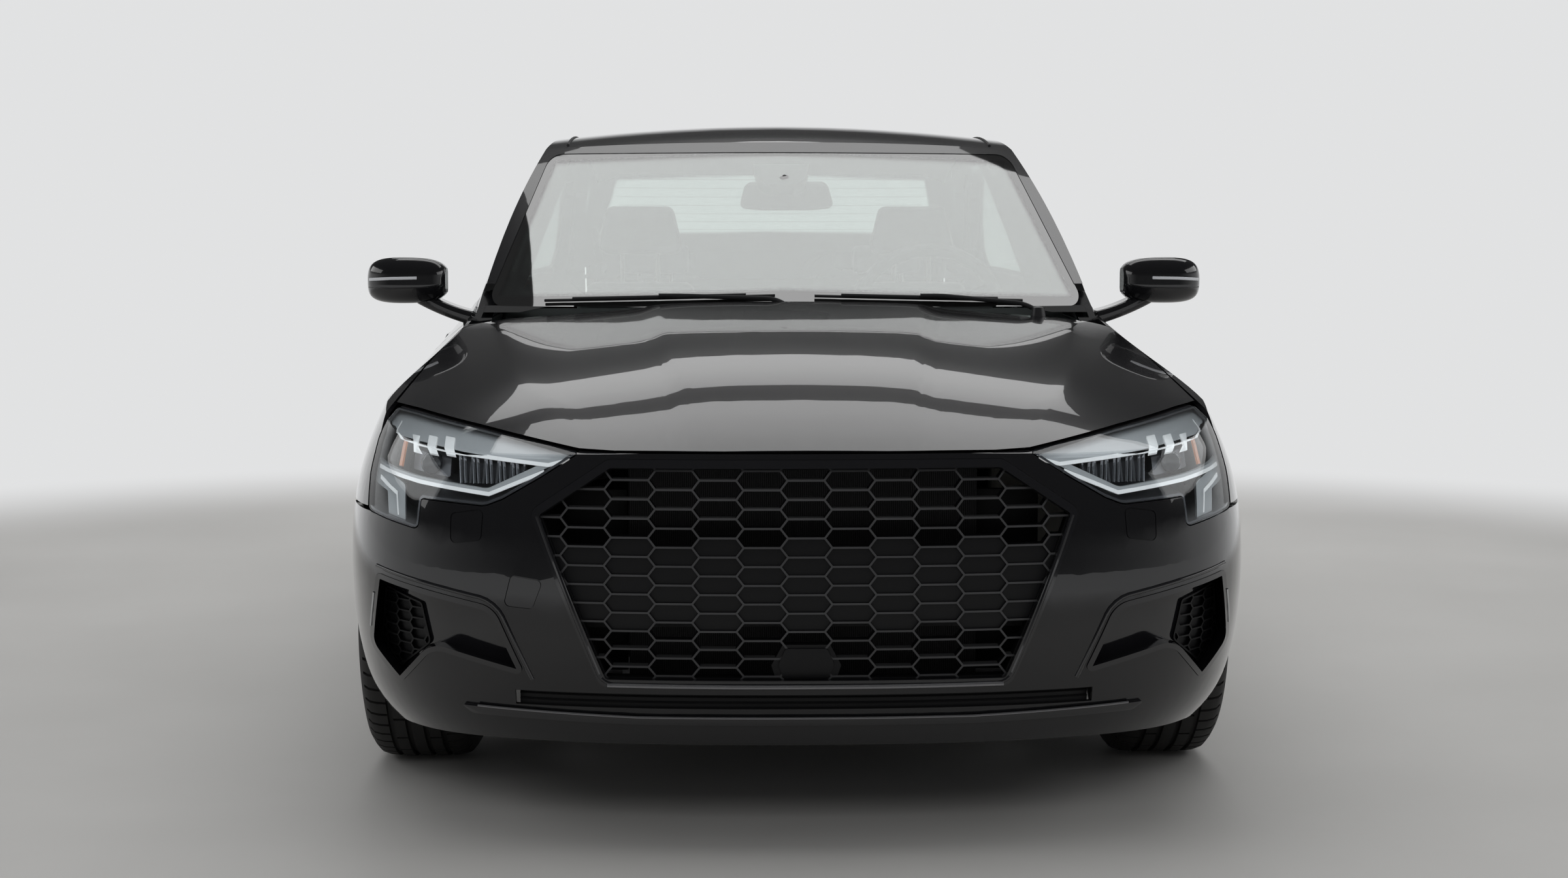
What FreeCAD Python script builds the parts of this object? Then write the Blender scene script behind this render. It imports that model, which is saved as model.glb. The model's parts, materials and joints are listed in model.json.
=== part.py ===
import FreeCAD, Part
import math
import os

import Sketcher
from FreeCAD import Rotation, Vector

# A compact four-door saloon with front-wheel drive, drawn at its real size.
# X points to the car's left, the nose points to -Y and Z points up. The origin is on the ground,
# below the middle of the car. Stations are distances from the nose tip towards the tail.

DOC = FreeCAD.newDocument("saloon")
SHEET = DOC.addObject("Spreadsheet::Sheet", "sizes")

SIZES = [
    ("overall_length", 4495, "nose to tail"),
    ("body_width", 1816, "across the wheel arches, without the door mirrors"),
    ("roof_height", 1425, "ground to the top of the roof"),
    ("wheelbase", 2636, "front axle to rear axle"),
    ("front_overhang", 883, "nose to front axle"),
    ("front_track", 1554, "between the middles of the front tyres"),
    ("rear_track", 1527, "between the middles of the rear tyres"),
    ("sill_bottom", 150, "ground to the lowest edge of the body"),
    ("tyre_diameter", 637, "outside the tread"),
    ("tyre_width", 225, "section width"),
    ("rim_diameter", 457, "bead seat"),
    ("rim_width", 190, "between the flanges"),
    ("arch_radius", 350, "wheel arch edge"),
    ("wheelhouse_radius", 398, "room for the steered tyre inside the arch"),
    ("skin", 12, "wings, bumpers and lids"),
    ("side_wall", 80, "doors and body sides below the windows"),
    ("frame_wall", 42, "pillars and window frames"),
    ("roof_wall", 30, "roof panel with its lining"),
    ("glass", 5, "window glass"),
    ("shut_gap", 5, "between a panel and its neighbour"),
    ("seal_step", 20, "how far a door's inner box stands in from its skin"),
    ("door_lap", 25, "thickness of a door's edge where it laps the body"),
    ("glass_setback", 8, "side glass behind the outer form"),
    ("lid_thickness", 18, "bonnet and boot lid with their inner panels"),
    ("seat", 0.3, "clearance between a piece and what carries it"),
    ("skin_seat", 0.8, "clearance between an inner piece and the curved skin outside it"),
    ("hub_radius", 78, "middle of the wheel"),
    ("hub_face", 188, "inner side of the tyre to the outer face of the hub"),
    ("disc_diameter", 312, "brake disc"),
    ("disc_thickness", 25, "brake disc"),
    ("disc_place", 70, "inner side of the tyre to the brake disc"),
    ("stub_radius", 20, "stub axle"),
    ("spoke_count", 5, "twin spokes on each wheel"),
    ("spoke_width", 24, "across one spoke"),
    ("spoke_depth", 32, "along the axle"),
    ("flange_height", 17, "rim flange above the bead seat"),
    ("cell_pitch", 78, "grille: between the columns of its honeycomb"),
    ("cell_height", 33, "grille: one cell of its honeycomb"),
    ("cell_flank", 13, "grille: sideways reach of a cell's slanting side"),
    ("rib", 3.6, "grille: bars between the cells"),
    ("grille_depth", 28, "grille: front to back of its bars"),
    ("frame_width", 15, "frame round the grille"),
    ("lamp_wall", 4, "headlamp bowl"),
    ("lamp_depth", 95, "headlamp, from its lens to its back"),
    ("steering_wheel_radius", 184, "to the middle of its rim"),
    ("steering_grip", 15, "radius of the wheel's rim section"),
    ("floor_thickness", 22, "floor pan with its carpet"),
    ("engine_length", 660, "across the car"),
    ("engine_width", 400, "along the car"),
    ("engine_height", 540, "sump to cover"),
    ("radiator_width", 640, "across the car"),
    ("radiator_depth", 45, "front to back"),
    ("radiator_height", 400, "core with its tanks"),
]
for row, (alias, size, note) in enumerate(SIZES, start=1):
    SHEET.set(f"A{row}", note)
    SHEET.set(f"B{row}", str(size))
    SHEET.setAlias(f"B{row}", alias)
DOC.recompute()


def size(name):
    return float(SHEET.get(name))


length = size("overall_length")
half_width = size("body_width") / 2
front_axle = size("front_overhang")
rear_axle = front_axle + size("wheelbase")
tail = length
tyre_radius = size("tyre_diameter") / 2
skin = size("skin")
side_wall = size("side_wall")
frame_wall = size("frame_wall")
roof_wall = size("roof_wall")
glass = size("glass")
gap = size("shut_gap")
seat = size("seat")
low = size("sill_bottom")
roof_top = size("roof_height")
FAR = 3000.0


def at(x, station, z):
    return Vector(x, station - length / 2, z)


# Shape helpers


def spline_face(net):
    """A smooth cubic face over a net of control points."""
    orders = []
    for count in (len(net), len(net[0])):
        degree = min(3, count - 1)
        spans = count - degree
        knots = [float(i) for i in range(spans + 1)]
        repeats = [degree + 1] + [1] * (spans - 1) + [degree + 1]
        orders.append((degree, knots, repeats))
    (du, ku, mu), (dv, kv, mv) = orders
    surface = Part.BSplineSurface()
    surface.buildFromPolesMultsKnots(net, mu, mv, ku, kv, False, False, du, dv)
    return surface.toShape()


def rounded_wire(points, lift):
    """A closed wire through (a, b, radius) corners; lift turns (a, b) into a point."""
    flat = [Vector(p[0], p[1], 0) for p in points]
    radii = [p[2] if len(p) > 2 else 0 for p in points]
    count = len(flat)
    ends = []
    for i, corner in enumerate(flat):
        back = flat[i - 1] - corner
        ahead = flat[(i + 1) % count] - corner
        turn = math.pi - back.getAngle(ahead)
        reach = radii[i] * math.tan(turn / 2)
        reach = min(reach, 0.48 * back.Length, 0.48 * ahead.Length)
        if reach < 0.5:
            ends.append((corner, None, corner))
            continue
        radius = reach / math.tan(turn / 2)
        first = corner + back.normalize() * reach
        last = corner + ahead.normalize() * reach
        middle = back + ahead
        middle.normalize()
        centre = corner + middle * (radius / math.cos(turn / 2))
        ends.append((first, centre - middle * radius, last))
    edges = []
    for i, (first, middle, last) in enumerate(ends):
        if middle is not None:
            a, b, c = lift(first), lift(middle), lift(last)
            edges.append(Part.Arc(a, b, c).toShape())
        following = ends[(i + 1) % count][0]
        if (following - last).Length > 0.01:
            edges.append(Part.LineSegment(lift(last), lift(following)).toShape())
    return Part.Wire(edges)


def grown(wire, grow):
    return wire.makeOffset2D(grow) if abs(grow) > 0.001 else wire


def side_prism(points, x0, x1, grow=0):
    """The space behind a side-view outline of (station, z, radius) corners."""
    wire = rounded_wire(points, lambda p: at(x0, p.x, p.y))
    return Part.Face(grown(wire, grow)).extrude(Vector(x1 - x0, 0, 0))


def front_prism(points, s0, s1, grow=0):
    """The space behind a front-view outline of (x, z, radius) corners."""
    wire = rounded_wire(points, lambda p: at(p.x, s0, p.y))
    return Part.Face(grown(wire, grow)).extrude(Vector(0, s1 - s0, 0))


def plan_prism(points, z0, z1, grow=0):
    """The space over a plan-view outline of (x, station, radius) corners."""
    wire = rounded_wire(points, lambda p: at(p.x, p.y, z0))
    return Part.Face(grown(wire, grow)).extrude(Vector(0, 0, z1 - z0))


def block(x0, x1, s0, s1, z0, z1):
    return Part.makeBox(x1 - x0, s1 - s0, z1 - z0, at(x0, s0, z0))


def rod(start, end, radius):
    return Part.makeCylinder(radius, (end - start).Length, start, end - start)


def across(radius, x0, x1, station, z):
    """A cylinder along X."""
    return Part.makeCylinder(radius, x1 - x0, at(x0, station, z), Vector(1, 0, 0))


def pipe(points, radius):
    """A round bar along straight runs with tangent arcs; points are (point, bend radius)."""
    places = [p for p, bend in points]
    edges = []
    last = places[0]
    for i in range(1, len(points) - 1):
        corner = places[i]
        back = places[i - 1] - corner
        ahead = places[i + 1] - corner
        turn = math.pi - back.getAngle(ahead)
        reach = points[i][1] * math.tan(turn / 2)
        back.normalize()
        ahead.normalize()
        middle = back + ahead
        middle.normalize()
        centre = corner + middle * (points[i][1] / math.cos(turn / 2))
        first, end = corner + back * reach, corner + ahead * reach
        edges.append(Part.LineSegment(last, first).toShape())
        edges.append(Part.Arc(first, centre - middle * points[i][1], end).toShape())
        last = end
    edges.append(Part.LineSegment(last, places[-1]).toShape())
    path = Part.Wire(edges)
    ring = Part.Wire(Part.makeCircle(radius, places[0], places[1] - places[0]))
    return path.makePipeShell([ring], True, False)


def mirrored(shape):
    return shape.mirror(Vector(0, 0, 0), Vector(1, 0, 0))


def pair(shape):
    return Part.makeCompound([shape, mirrored(shape)])


def biggest(shape):
    """The shape without the scraps that a cut leaves."""
    return Part.makeCompound([max(shape.Solids, key=lambda solid: solid.Volume)])


def joined(shapes):
    first, *rest = shapes
    return first.fuse(rest).removeSplitter() if rest else first


def feature(label, shape):
    """A sub-part whose shape is made above."""
    solids = Part.makeCompound(shape.Solids)
    made = DOC.addObject("Part::Feature", label)
    made.Shape = solids
    made.Label = label
    return made


# Master form of the lower body: level curves that run from the nose round to the tail.
# Each level has its height at the nose and at the tail, its half widths at the front axle,
# the doors and the rear axle, and the stations of its nose and tail.

SHOULDER = (772, 858, 845, 899, 909, 80, 58)
LOWER_LEVELS = [
    (low, low, 815, 792, 812, 115, 188),
    (205, 205, 872, 855, 868, 55, 106),
    (300, 300, 897, 880, 897, 7, 36),
    (430, 430, 908, 877, 908, -17, -1),
    (560, 560, 910, 874, 912, -13, -2),
    (680, 690, 893, 880, 914, 23, 24),
    SHOULDER,
]
UPPER_LEVELS = [
    SHOULDER,
    (830, 905, 785, 880, 897, 138, 70),
    (890, 950, 690, 846, 866, 232, 73),
    (960, 1000, 590, 800, 812, 350, 63),
    (1060, 1060, 500, 740, 735, 480, 49),
    (1150, 1150, 420, 680, 650, 600, 43),
]
DRAWN_HALF_WIDTH = 911.25


def level_curve(level, inset):
    z_nose, z_tail, front, middle, rear, nose, tail_inset = level
    wider = half_width - DRAWN_HALF_WIDTH - inset
    front, middle, rear = front + wider, middle + wider, rear + wider
    nose = nose + inset
    end = tail - tail_inset - inset
    between = (front + middle) / 2
    corners = [
        (0, nose),
        (0.30 * front, nose),
        (0.62 * front, nose + 55),
        (0.87 * front, nose + 175),
        (0.975 * front, nose + 430),
        (front, front_axle),
        (between, front_axle + 520),
        (middle, front_axle + 1267),
        (middle, rear_axle - 719),
        (rear, rear_axle - 150),
        (rear, rear_axle + 250),
        (0.955 * rear, end - 230),
        (0.80 * rear, end - 60),
        (0.40 * rear, end),
        (0, end),
    ]
    return [at(x, s, z_nose + (z_tail - z_nose) * s / length) for x, s in corners]


def cap(faces, z):
    """The flat face that closes a band of faces at height z."""
    edges = []
    for face in faces:
        edges += [e for e in face.Edges if abs(e.BoundBox.ZMin - z) + abs(e.BoundBox.ZMax - z) < 0.02]
    return Part.Face(Part.Wire(Part.__sortEdges__(edges)))


def skirt(inset, drop):
    """The closed band of nose, sides and tail, standing in by inset and reaching down by drop."""
    lower_net = [level_curve(level, inset) for level in LOWER_LEVELS]
    for point in lower_net[0]:
        point.z -= drop
    upper_net = [level_curve(level, inset) for level in UPPER_LEVELS]
    bands = [spline_face(lower_net), spline_face(upper_net)]
    both = bands + [mirrored(face) for face in bands]
    bottom = cap([both[0], both[2]], low - drop)
    top = cap([both[1], both[3]], UPPER_LEVELS[-1][0])
    shell = Part.makeShell(both + [bottom, top])
    shell.sewShape()
    solid = Part.makeSolid(shell)
    if solid.Volume < 0:
        solid.reverse()
    return solid


# The top of the lower body: bonnet, window sill and boot deck, as (station, middle, edge) heights.

TOP_LINE = [
    (-150, 640, 560),
    (60, 742, 672),
    (300, 826, 752),
    (600, 888, 805),
    (front_axle + 17, 933, 852),
    (front_axle + 317, 968, 900),
    (front_axle + 567, 985, 930),
    (front_axle + 1317, 985, 950),
    (rear_axle - 519, 1010, 972),
    (rear_axle + 81, 1060, 1000),
    (tail - 545, 1098, 1022),
    (tail - 245, 1108, 1030),
    (tail - 25, 1100, 1030),
    (tail + 205, 1080, 1020),
]
EDGE_AT = 780.0
TOP_COLUMN = 350.0


def top_space(drop):
    net = []
    for station, middle, edge in TOP_LINE:
        row = []
        for x in (i * TOP_COLUMN for i in range(-3, 4)):
            row.append(at(x, station, middle - (middle - edge) * (x / EDGE_AT) ** 2 - drop))
        net.append(row)
    return spline_face(net).extrude(Vector(0, 0, -1100))


FORMS = {}


def lower_form(inset, drop=0.0):
    if (inset, drop) not in FORMS:
        FORMS[inset, drop] = skirt(inset, drop).common(top_space(inset))
    return FORMS[inset, drop]


# Master form of the cabin: side glass, windscreen, rear window and roof surfaces.


def cabin_side(inset):
    """Left side surface, leaning in towards the roof; rows are heights, columns stations."""
    levels = [(820, 852), (950, 800), (1100, 744), (1250, 682), (1380, 617), (1470, 565)]
    stations = [
        (front_axle - 300, -210),
        (front_axle + 300, -96),
        (front_axle + 900, -22),
        (front_axle + 1500, 0),
        (rear_axle - 600, -12),
        (rear_axle - 100, -58),
        (rear_axle + 400, -128),
        (rear_axle + 900, -230),
    ]
    net = []
    for z, x in levels:
        wider = half_width - DRAWN_HALF_WIDTH - inset
        net.append([at(x + bend + wider, s, z) for s, bend in stations])
    return spline_face(net)


def screen_face(setback):
    """Windscreen surface; rows are heights, columns run across."""
    base = front_axle + 267
    levels = [(700, -487), (940, -18), (1080, 258), (1220, 532), (1350, 795), (1500, 1110)]
    net = []
    for z, s in levels:
        row = []
        for x in (-950, -620, -310, 0, 310, 620, 950):
            row.append(at(x, base + s + 165 * (x / 700) ** 2 + setback, z))
        net.append(row)
    return spline_face(net)


def rear_window_face(setback):
    base = tail - 545
    levels = [(700, 1020), (1000, 240), (1100, 0), (1220, -330), (1330, -690), (1430, -1090)]
    net = []
    for z, s in levels:
        row = []
        for x in (-900, -600, -300, 0, 300, 600, 900):
            row.append(at(x, base + s - 150 * (x / 650) ** 2 - setback, z))
        net.append(row)
    return spline_face(net)


ROOF_LINE = [
    (front_axle, -480, 0.9),
    (front_axle + 500, -290, 0.9),
    (front_axle + 900, -115, 1.0),
    (front_axle + 1217, -25.4, 1.0),
    (front_axle + 1517, 4.6, 1.0),
    (front_axle + 1800, 3.6, 1.0),
    (rear_axle - 600, -18.4, 1.0),
    (rear_axle - 300, -72, 1.0),
    (rear_axle + 100, -175, 1.0),
    (rear_axle + 500, -310, 1.0),
]


def roof_face(drop):
    crown = 36.0
    net = []
    for station, z, share in ROOF_LINE:
        row = []
        for x in (-900, -600, -300, 0, 300, 600, 900):
            row.append(at(x, station, roof_top + z - crown * share * (x / 600) ** 2 - drop))
        net.append(row)
    return spline_face(net)


def cabin_form(side, top, screen, base):
    """The cabin above height base, standing in by side, top and screen."""
    left = cabin_side(side)
    space = left.extrude(Vector(-FAR, 0, 0)).common(mirrored(left).extrude(Vector(FAR, 0, 0)))
    space = space.common(roof_face(top).extrude(Vector(0, 0, -1000)))
    space = space.common(screen_face(screen * 2.0).extrude(Vector(0, 2 * FAR, 0)))
    space = space.common(rear_window_face(screen * 2.0).extrude(Vector(0, -2 * FAR, 0)))
    return space.common(block(-1000, 1000, 0, length, base, 1600))


belt_base = 890.0
outer_lower = lower_form(0)
outer_cabin = cabin_form(0, 0, 0, belt_base)
outer = outer_lower.fuse(outer_cabin)
thin_inner = lower_form(skin, 60)
thin = outer_lower.cut(thin_inner)
inner_lower = lower_form(side_wall, 60)
inner_cabin = cabin_form(frame_wall, roof_wall, frame_wall, 700)
behind_skin = lower_form(skin + size("skin_seat"), 60)

# Outlines on the body. Side views are (station, z, radius), front and rear views (x, z, radius).

DOOR_FRONT = [
    (front_axle + 512, 212, 40),
    (front_axle + 470, 560, 200),
    (front_axle + 452, 800, 80),
    (front_axle + 452, 925, 30),
    (front_axle + 700, 1015, 500),
    (front_axle + 960, 1155, 500),
    (front_axle + 1200, 1284, 300),
    (front_axle + 1400, 1348, 300),
    (front_axle + 1552, 1352, 15),
    (front_axle + 1560, 960, 400),
    (front_axle + 1530, 212, 40),
]
DOOR_REAR = [
    (front_axle + 1530 + gap, 212, 40),
    (front_axle + 1560 + gap, 960, 400),
    (front_axle + 1552 + gap, 1352, 15),
    (rear_axle - 736, 1345, 400),
    (rear_axle - 590, 1322, 300),
    (rear_axle - 430, 1270, 300),
    (rear_axle - 250, 1185, 300),
    (rear_axle - 90, 1082, 60),
    (rear_axle - 60, 1000, 60),
    (rear_axle - 135, 850, 100),
    (rear_axle - 300, 640, 200),
    (rear_axle - 392, 400, 120),
    (rear_axle - 410, 212, 40),
]
WINDOW_FRONT = [
    (front_axle + 640, 962, 12),
    (front_axle + 960, 1112, 500),
    (front_axle + 1210, 1246, 300),
    (front_axle + 1400, 1310, 300),
    (front_axle + 1495, 1314, 12),
    (front_axle + 1500, 985, 12),
]
WINDOW_REAR = [
    (front_axle + 1632, 990, 12),
    (front_axle + 1626, 1314, 12),
    (rear_axle - 736, 1308, 300),
    (rear_axle - 600, 1286, 300),
    (rear_axle - 450, 1238, 300),
    (rear_axle - 290, 1160, 200),
    (rear_axle - 172, 1078, 30),
    (rear_axle - 150, 1018, 12),
]
HEADLAMP = [
    (404, 722, 3),
    (591, 751, 400),
    (734, 770, 200),
    (782, 775, 4),
    (804, 728, 60),
    (812, 665, 100),
    (809, 600, 12),
    (700, 580, 8),
    (695, 634, 6),
    (573, 627, 40),
    (540, 640, 40),
    (474, 678, 60),
]
HOOD_EDGE = [(340, 724), (404, 727), (591, 756), (734, 775), (790, 780)]
GRILLE = [(0, 712, 0), (352, 712, 30), (492, 620, 22), (366, 308, 22), (0, 308, 0)]
INTAKE = [
    (786, 492, 12),
    (556, 450, 50),
    (499, 322, 10),
    (672, 364, 40),
    (744, 284, 10),
    (811, 350, 40),
]
INTAKE_MESH = [(774, 462, 8), (697, 441, 8), (681, 368, 14), (734, 322, 8), (748, 306, 4), (793, 356, 20)]
WASHER_COVER = [(574, 622, 10), (636, 612, 10), (636, 558, 10), (578, 566, 10)]
TOWING_COVER = [(-464, 500, 10), (-484, 448, 10), (-538, 452, 10), (-524, 508, 10)]
RADAR_COVER = [(-62, 350, 4), (-42, 388, 4), (42, 388, 4), (62, 350, 4), (46, 300, 0), (-46, 300, 0)]
LAMP_BAND = [
    (374, 714, 0),
    (374, 760, 0),
    (600, 820, 0),
    (830, 820, 0),
    (830, 752, 0),
    (776, 746, 0),
    (752, 733, 3),
    (620, 715, 4),
    (464, 700, 8),
    (412, 712, 0),
]
LAMP_LINE = [
    (812, 685, 0),
    (707, 669, 30),
    (571, 654, 30),
    (464, 704, 0),
    (456, 696, 0),
    (571, 645, 30),
    (707, 660, 30),
    (812, 676, 0),
]
LAMP_HOOK = [(812, 684, 0), (812, 648, 0), (771, 636, 6), (762, 570, 0), (727, 570, 0), (732, 652, 10), (770, 668, 6)]
LAMP_MODULES = [
    [(645, 668, 4), (722, 676, 4), (722, 718, 4), (645, 710, 4)],
    [(508, 678, 4), (572, 662, 4), (622, 665, 4), (622, 705, 4), (508, 696, 4)],
]
HANDLES = [(front_axle + 1330, front_axle + 1480), (rear_axle - 372, rear_axle - 222)]
PLATE_RECESS = [(-265, 748, 10), (265, 748, 10), (280, 868, 10), (-280, 868, 10)]
WINDSCREEN = [(0, 968, 0), (700, 950, 30), (602, 1330, 45), (0, 1352, 0)]
REAR_WINDOW = [(0, 1118, 0), (600, 1108, 40), (500, 1318, 60), (0, 1336, 0)]


def whole(points):
    """A symmetric outline from its left half, whose first and last corners are on the middle line."""
    middle = [p for p in points if p[0] != 0]
    return middle + [(-p[0], *p[1:]) for p in reversed(middle)]


def honeycomb(outline, grow, middle_x, middle_z, pitch, high, flank, rib):
    """Flat-topped cells in staggered columns inside a front-view outline, as (height, face) pairs."""
    region = Part.Face(grown(rounded_wire(outline, lambda p: at(p.x, -100, p.y)), grow))
    box = region.BoundBox
    bar = (pitch - flank) / 2
    corners = [(bar, high / 2), (bar + flank, 0), (bar, -high / 2)]
    corners += [(-x, -z) for x, z in corners]
    pattern = Part.Face(grown(rounded_wire(corners, lambda p: at(p.x, -100, p.y)), -rib / 2))
    columns = math.ceil((box.XMax - box.XMin) / pitch) + 1
    rows = math.ceil((box.ZMax - box.ZMin) / high) + 1
    cells = []
    for column in range(-columns, columns + 1):
        for row in range(-rows, rows + 1):
            x = middle_x + column * pitch
            z = middle_z + (row + (column % 2) / 2) * high
            if not (box.XMin - bar < x < box.XMax + bar and box.ZMin - high / 2 < z < box.ZMax + high / 2):
                continue
            for face in pattern.translated(Vector(x, 0, z)).common(region).Faces:
                if face.Area > high * pitch * 0.06:
                    cells.append((z, face))
    return cells


def through(faces, reach):
    return Part.makeCompound([face.extrude(Vector(0, reach, 0)) for face in faces])


# Regions that the panels share.

front_wheel = across(size("arch_radius"), 0, 1200, front_axle, tyre_radius)
rear_wheel = across(size("arch_radius"), 0, 1200, rear_axle, tyre_radius)
rear_house = across(size("wheelhouse_radius") - 20, 540, half_width - 22, rear_axle, tyre_radius)
arches = Part.makeCompound([front_wheel, rear_wheel, mirrored(front_wheel), mirrored(rear_wheel)])

bumper_line = [
    (-200, 598, 0),
    (front_axle - 440, 598, 0),
    (front_axle - 200, 566, 0),
    (front_axle - 200, 0, 0),
    (-200, 0, 0),
]
rear_bumper_line = [
    (rear_axle + 200, 0, 0),
    (rear_axle + 200, 560, 0),
    (tail - 320, 700, 60),
    (tail + 200, 700, 0),
    (tail + 200, 0, 0),
]
hood_sides = [
    (-800, -200, 0),
    (-800, front_axle - 460, 0),
    (-772, front_axle, 900),
    (-742, front_axle + 372, 60),
    (0, front_axle + 250, 3000),
    (742, front_axle + 372, 60),
    (772, front_axle, 900),
    (800, front_axle - 460, 0),
    (800, -200, 0),
]


def above_hood_edge(lift):
    """Front-view outline above the bonnet's leading edge, as far as the lamps."""
    edge = [(-x, z + lift, 0) for x, z in reversed(HOOD_EDGE)] + [(x, z + lift, 0) for x, z in HOOD_EDGE]
    return [(-1200, edge[0][1], 0)] + edge + [(1200, edge[-1][1], 0), (1200, 1300, 0), (-1200, 1300, 0)]


lid_plan = [
    (-628, tail - 555, 60),
    (0, tail - 520, 2500),
    (628, tail - 555, 60),
    (655, tail - 300, 400),
    (660, tail + 200, 0),
    (-660, tail + 200, 0),
    (-655, tail - 300, 400),
]
lid_rear = [
    (-720, 1300, 0),
    (-720, 905, 0),
    (-655, 900, 0),
    (-600, 708, 40),
    (600, 708, 40),
    (655, 900, 0),
    (720, 905, 0),
    (720, 1300, 0),
]
TAIL_LAMP = [(392, 872, 12), (640, 904, 60), (860, 925, 10), (915, 915, 10), (915, 820, 20), (700, 792, 60), (392, 836, 12)]
lamp_split = 650.0

# Front end panels

below_hood = front_prism(above_hood_edge(-gap / 2), -200, front_axle + 600)
hood_space = plan_prism(hood_sides, 0, 1300, -gap / 2)
hood_room = plan_prism(hood_sides, 0, 1300, gap / 2)
hood_sweep = 16.0
hood_way = hood_room.fuse(hood_room.translated(Vector(0, hood_sweep, 0)))
lamp_prism = front_prism(HEADLAMP, -100, front_axle - 250)
lamp_cut = front_prism(HEADLAMP, -100, front_axle - 250, 2)
both_lamp_cuts = Part.makeCompound([lamp_cut, mirrored(lamp_cut)])
grille_prism = front_prism(whole(GRILLE), -100, 400)
intake_prism = front_prism(INTAKE, -100, front_axle - 250)

# The bonnet's middle is raised, with a narrow slope at its edge, and has an outer crease on each side.
# Both fade out under the nose and below the windscreen, as (inner edge, outer crease, dome and crease share).

DOME_HEIGHT = 9.0
DOME_SLOPE = 42.0
CREASE_HEIGHT = 7.0
CREASE_REACH = 130.0
CREASES = [
    (190, 350, 0.0, 0.3),
    (200, 385, 0.0, 0.8),
    (214, 470, 0.35, 1.0),
    (246, 560, 0.8, 1.0),
    (275, 615, 1.0, 1.0),
    (300, 640, 1.0, 0.5),
    (318, 650, 0.6, 0.0),
    (318, 650, 0.0, 0.0),
]


def crease_row(line, creases):
    """One row of the bonnet's outer face, from the right side of the car to its left.

    A cubic face lies below its control points, and more so between wide columns. The sag of the plain
    top's columns is taken off here too, so that the bonnet meets its neighbours.
    """
    station, middle, edge = line
    inner, outer, dome, crease = creases
    bow = (middle - edge) / EDGE_AT**2
    sag = bow * TOP_COLUMN**2 / 3
    left = []
    for x in (
        inner - 90,
        inner - 8,
        inner + 8,
        inner + DOME_SLOPE - 8,
        inner + DOME_SLOPE + 8,
        outer - CREASE_REACH * 0.55,
        outer - 10,
        outer + 10,
        outer + CREASE_REACH,
        EDGE_AT + 80,
        3 * TOP_COLUMN,
    ):
        raised = DOME_HEIGHT * dome * min(1.0, max(0.0, (inner + DOME_SLOPE - x) / DOME_SLOPE))
        raised += CREASE_HEIGHT * crease * max(0.0, 1 - abs(x - outer) / CREASE_REACH)
        left.append(Vector(x, 0, middle - bow * x**2 - sag + raised))
    centre = Vector(0, 0, middle - sag + DOME_HEIGHT * dome)
    right = [Vector(-p.x, 0, p.z) for p in reversed(left)]
    return [at(p.x, station, p.z) for p in right + [centre] + left]


crease_net = []
for number, line in enumerate(TOP_LINE):
    crease_net.append(crease_row(line, CREASES[min(number, len(CREASES) - 1)]))
hood_top = spline_face(crease_net).extrude(Vector(0, 0, -1100))
lid_inside = lower_form(size("lid_thickness"), 60)
lid_shell = outer_lower.cut(lid_inside)
hood_skin = skirt(0, 0).common(hood_top).common(hood_space)
hood_skin = hood_skin.common(front_prism(above_hood_edge(gap / 2), -200, front_axle + 600)).cut(lid_inside)

# The bonnet turns on two bent arms whose pins sit below the corners of the windscreen

hood_pin = (front_axle + 447, 872)
hood_arm_x = 702.0
arm_width = 8.0
pin_radius = 5.0


def bent_arm(points, x, radius=7.0):
    """A hinge arm in a side-view plane; its first point is the pin."""
    path = [(at(x, station, z), bend) for station, z, bend in points]
    eye = across(13, x - arm_width / 2, x + arm_width / 2, points[0][0], points[0][1])
    hole = across(pin_radius + seat, x - arm_width, x + arm_width, points[0][0], points[0][1])
    return pipe(path, radius).fuse(eye).cut(hole)


hood_arm = bent_arm(
    [
        (hood_pin[0], hood_pin[1], 0),
        (hood_pin[0] - 50, hood_pin[1] - 62, 22),
        (hood_pin[0] - 120, hood_pin[1] - 40, 22),
        (hood_pin[0] - 150, hood_pin[1] + 16, 0),
    ],
    hood_arm_x,
)
hood = hood_skin.fuse([hood_arm, mirrored(hood_arm)])
feature("hood", hood)

bumper_side = side_prism(bumper_line, -1200, 1200)
center_face = block(-700, 700, -100, front_axle - 300, 0, 800)
bumper = thin.common(bumper_side.fuse(center_face))
above_lamps = block(404, 1200, -100, front_axle, 722, 1300)
bumper = bumper.cut([below_hood, arches, both_lamp_cuts, above_lamps, mirrored(above_lamps)])
bumper = bumper.cut([grille_prism, intake_prism, mirrored(intake_prism)])
bumper = bumper.cut([block(-520, 520, -100, 400, 268, 296), block(-1000, 1000, -100, 300, 0, 190)])
cover_line = 1.6
covers = []
for cover in (WASHER_COVER, [(-x, z, radius) for x, z, radius in reversed(WASHER_COVER)], TOWING_COVER):
    ring = front_prism(cover, -100, 500).cut(front_prism(cover, -100, 500, -cover_line))
    covers.append(ring.cut(lower_form(cover_line, 60)))
bumper = bumper.cut(covers)
feature("front_bumper", bumper)

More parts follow.
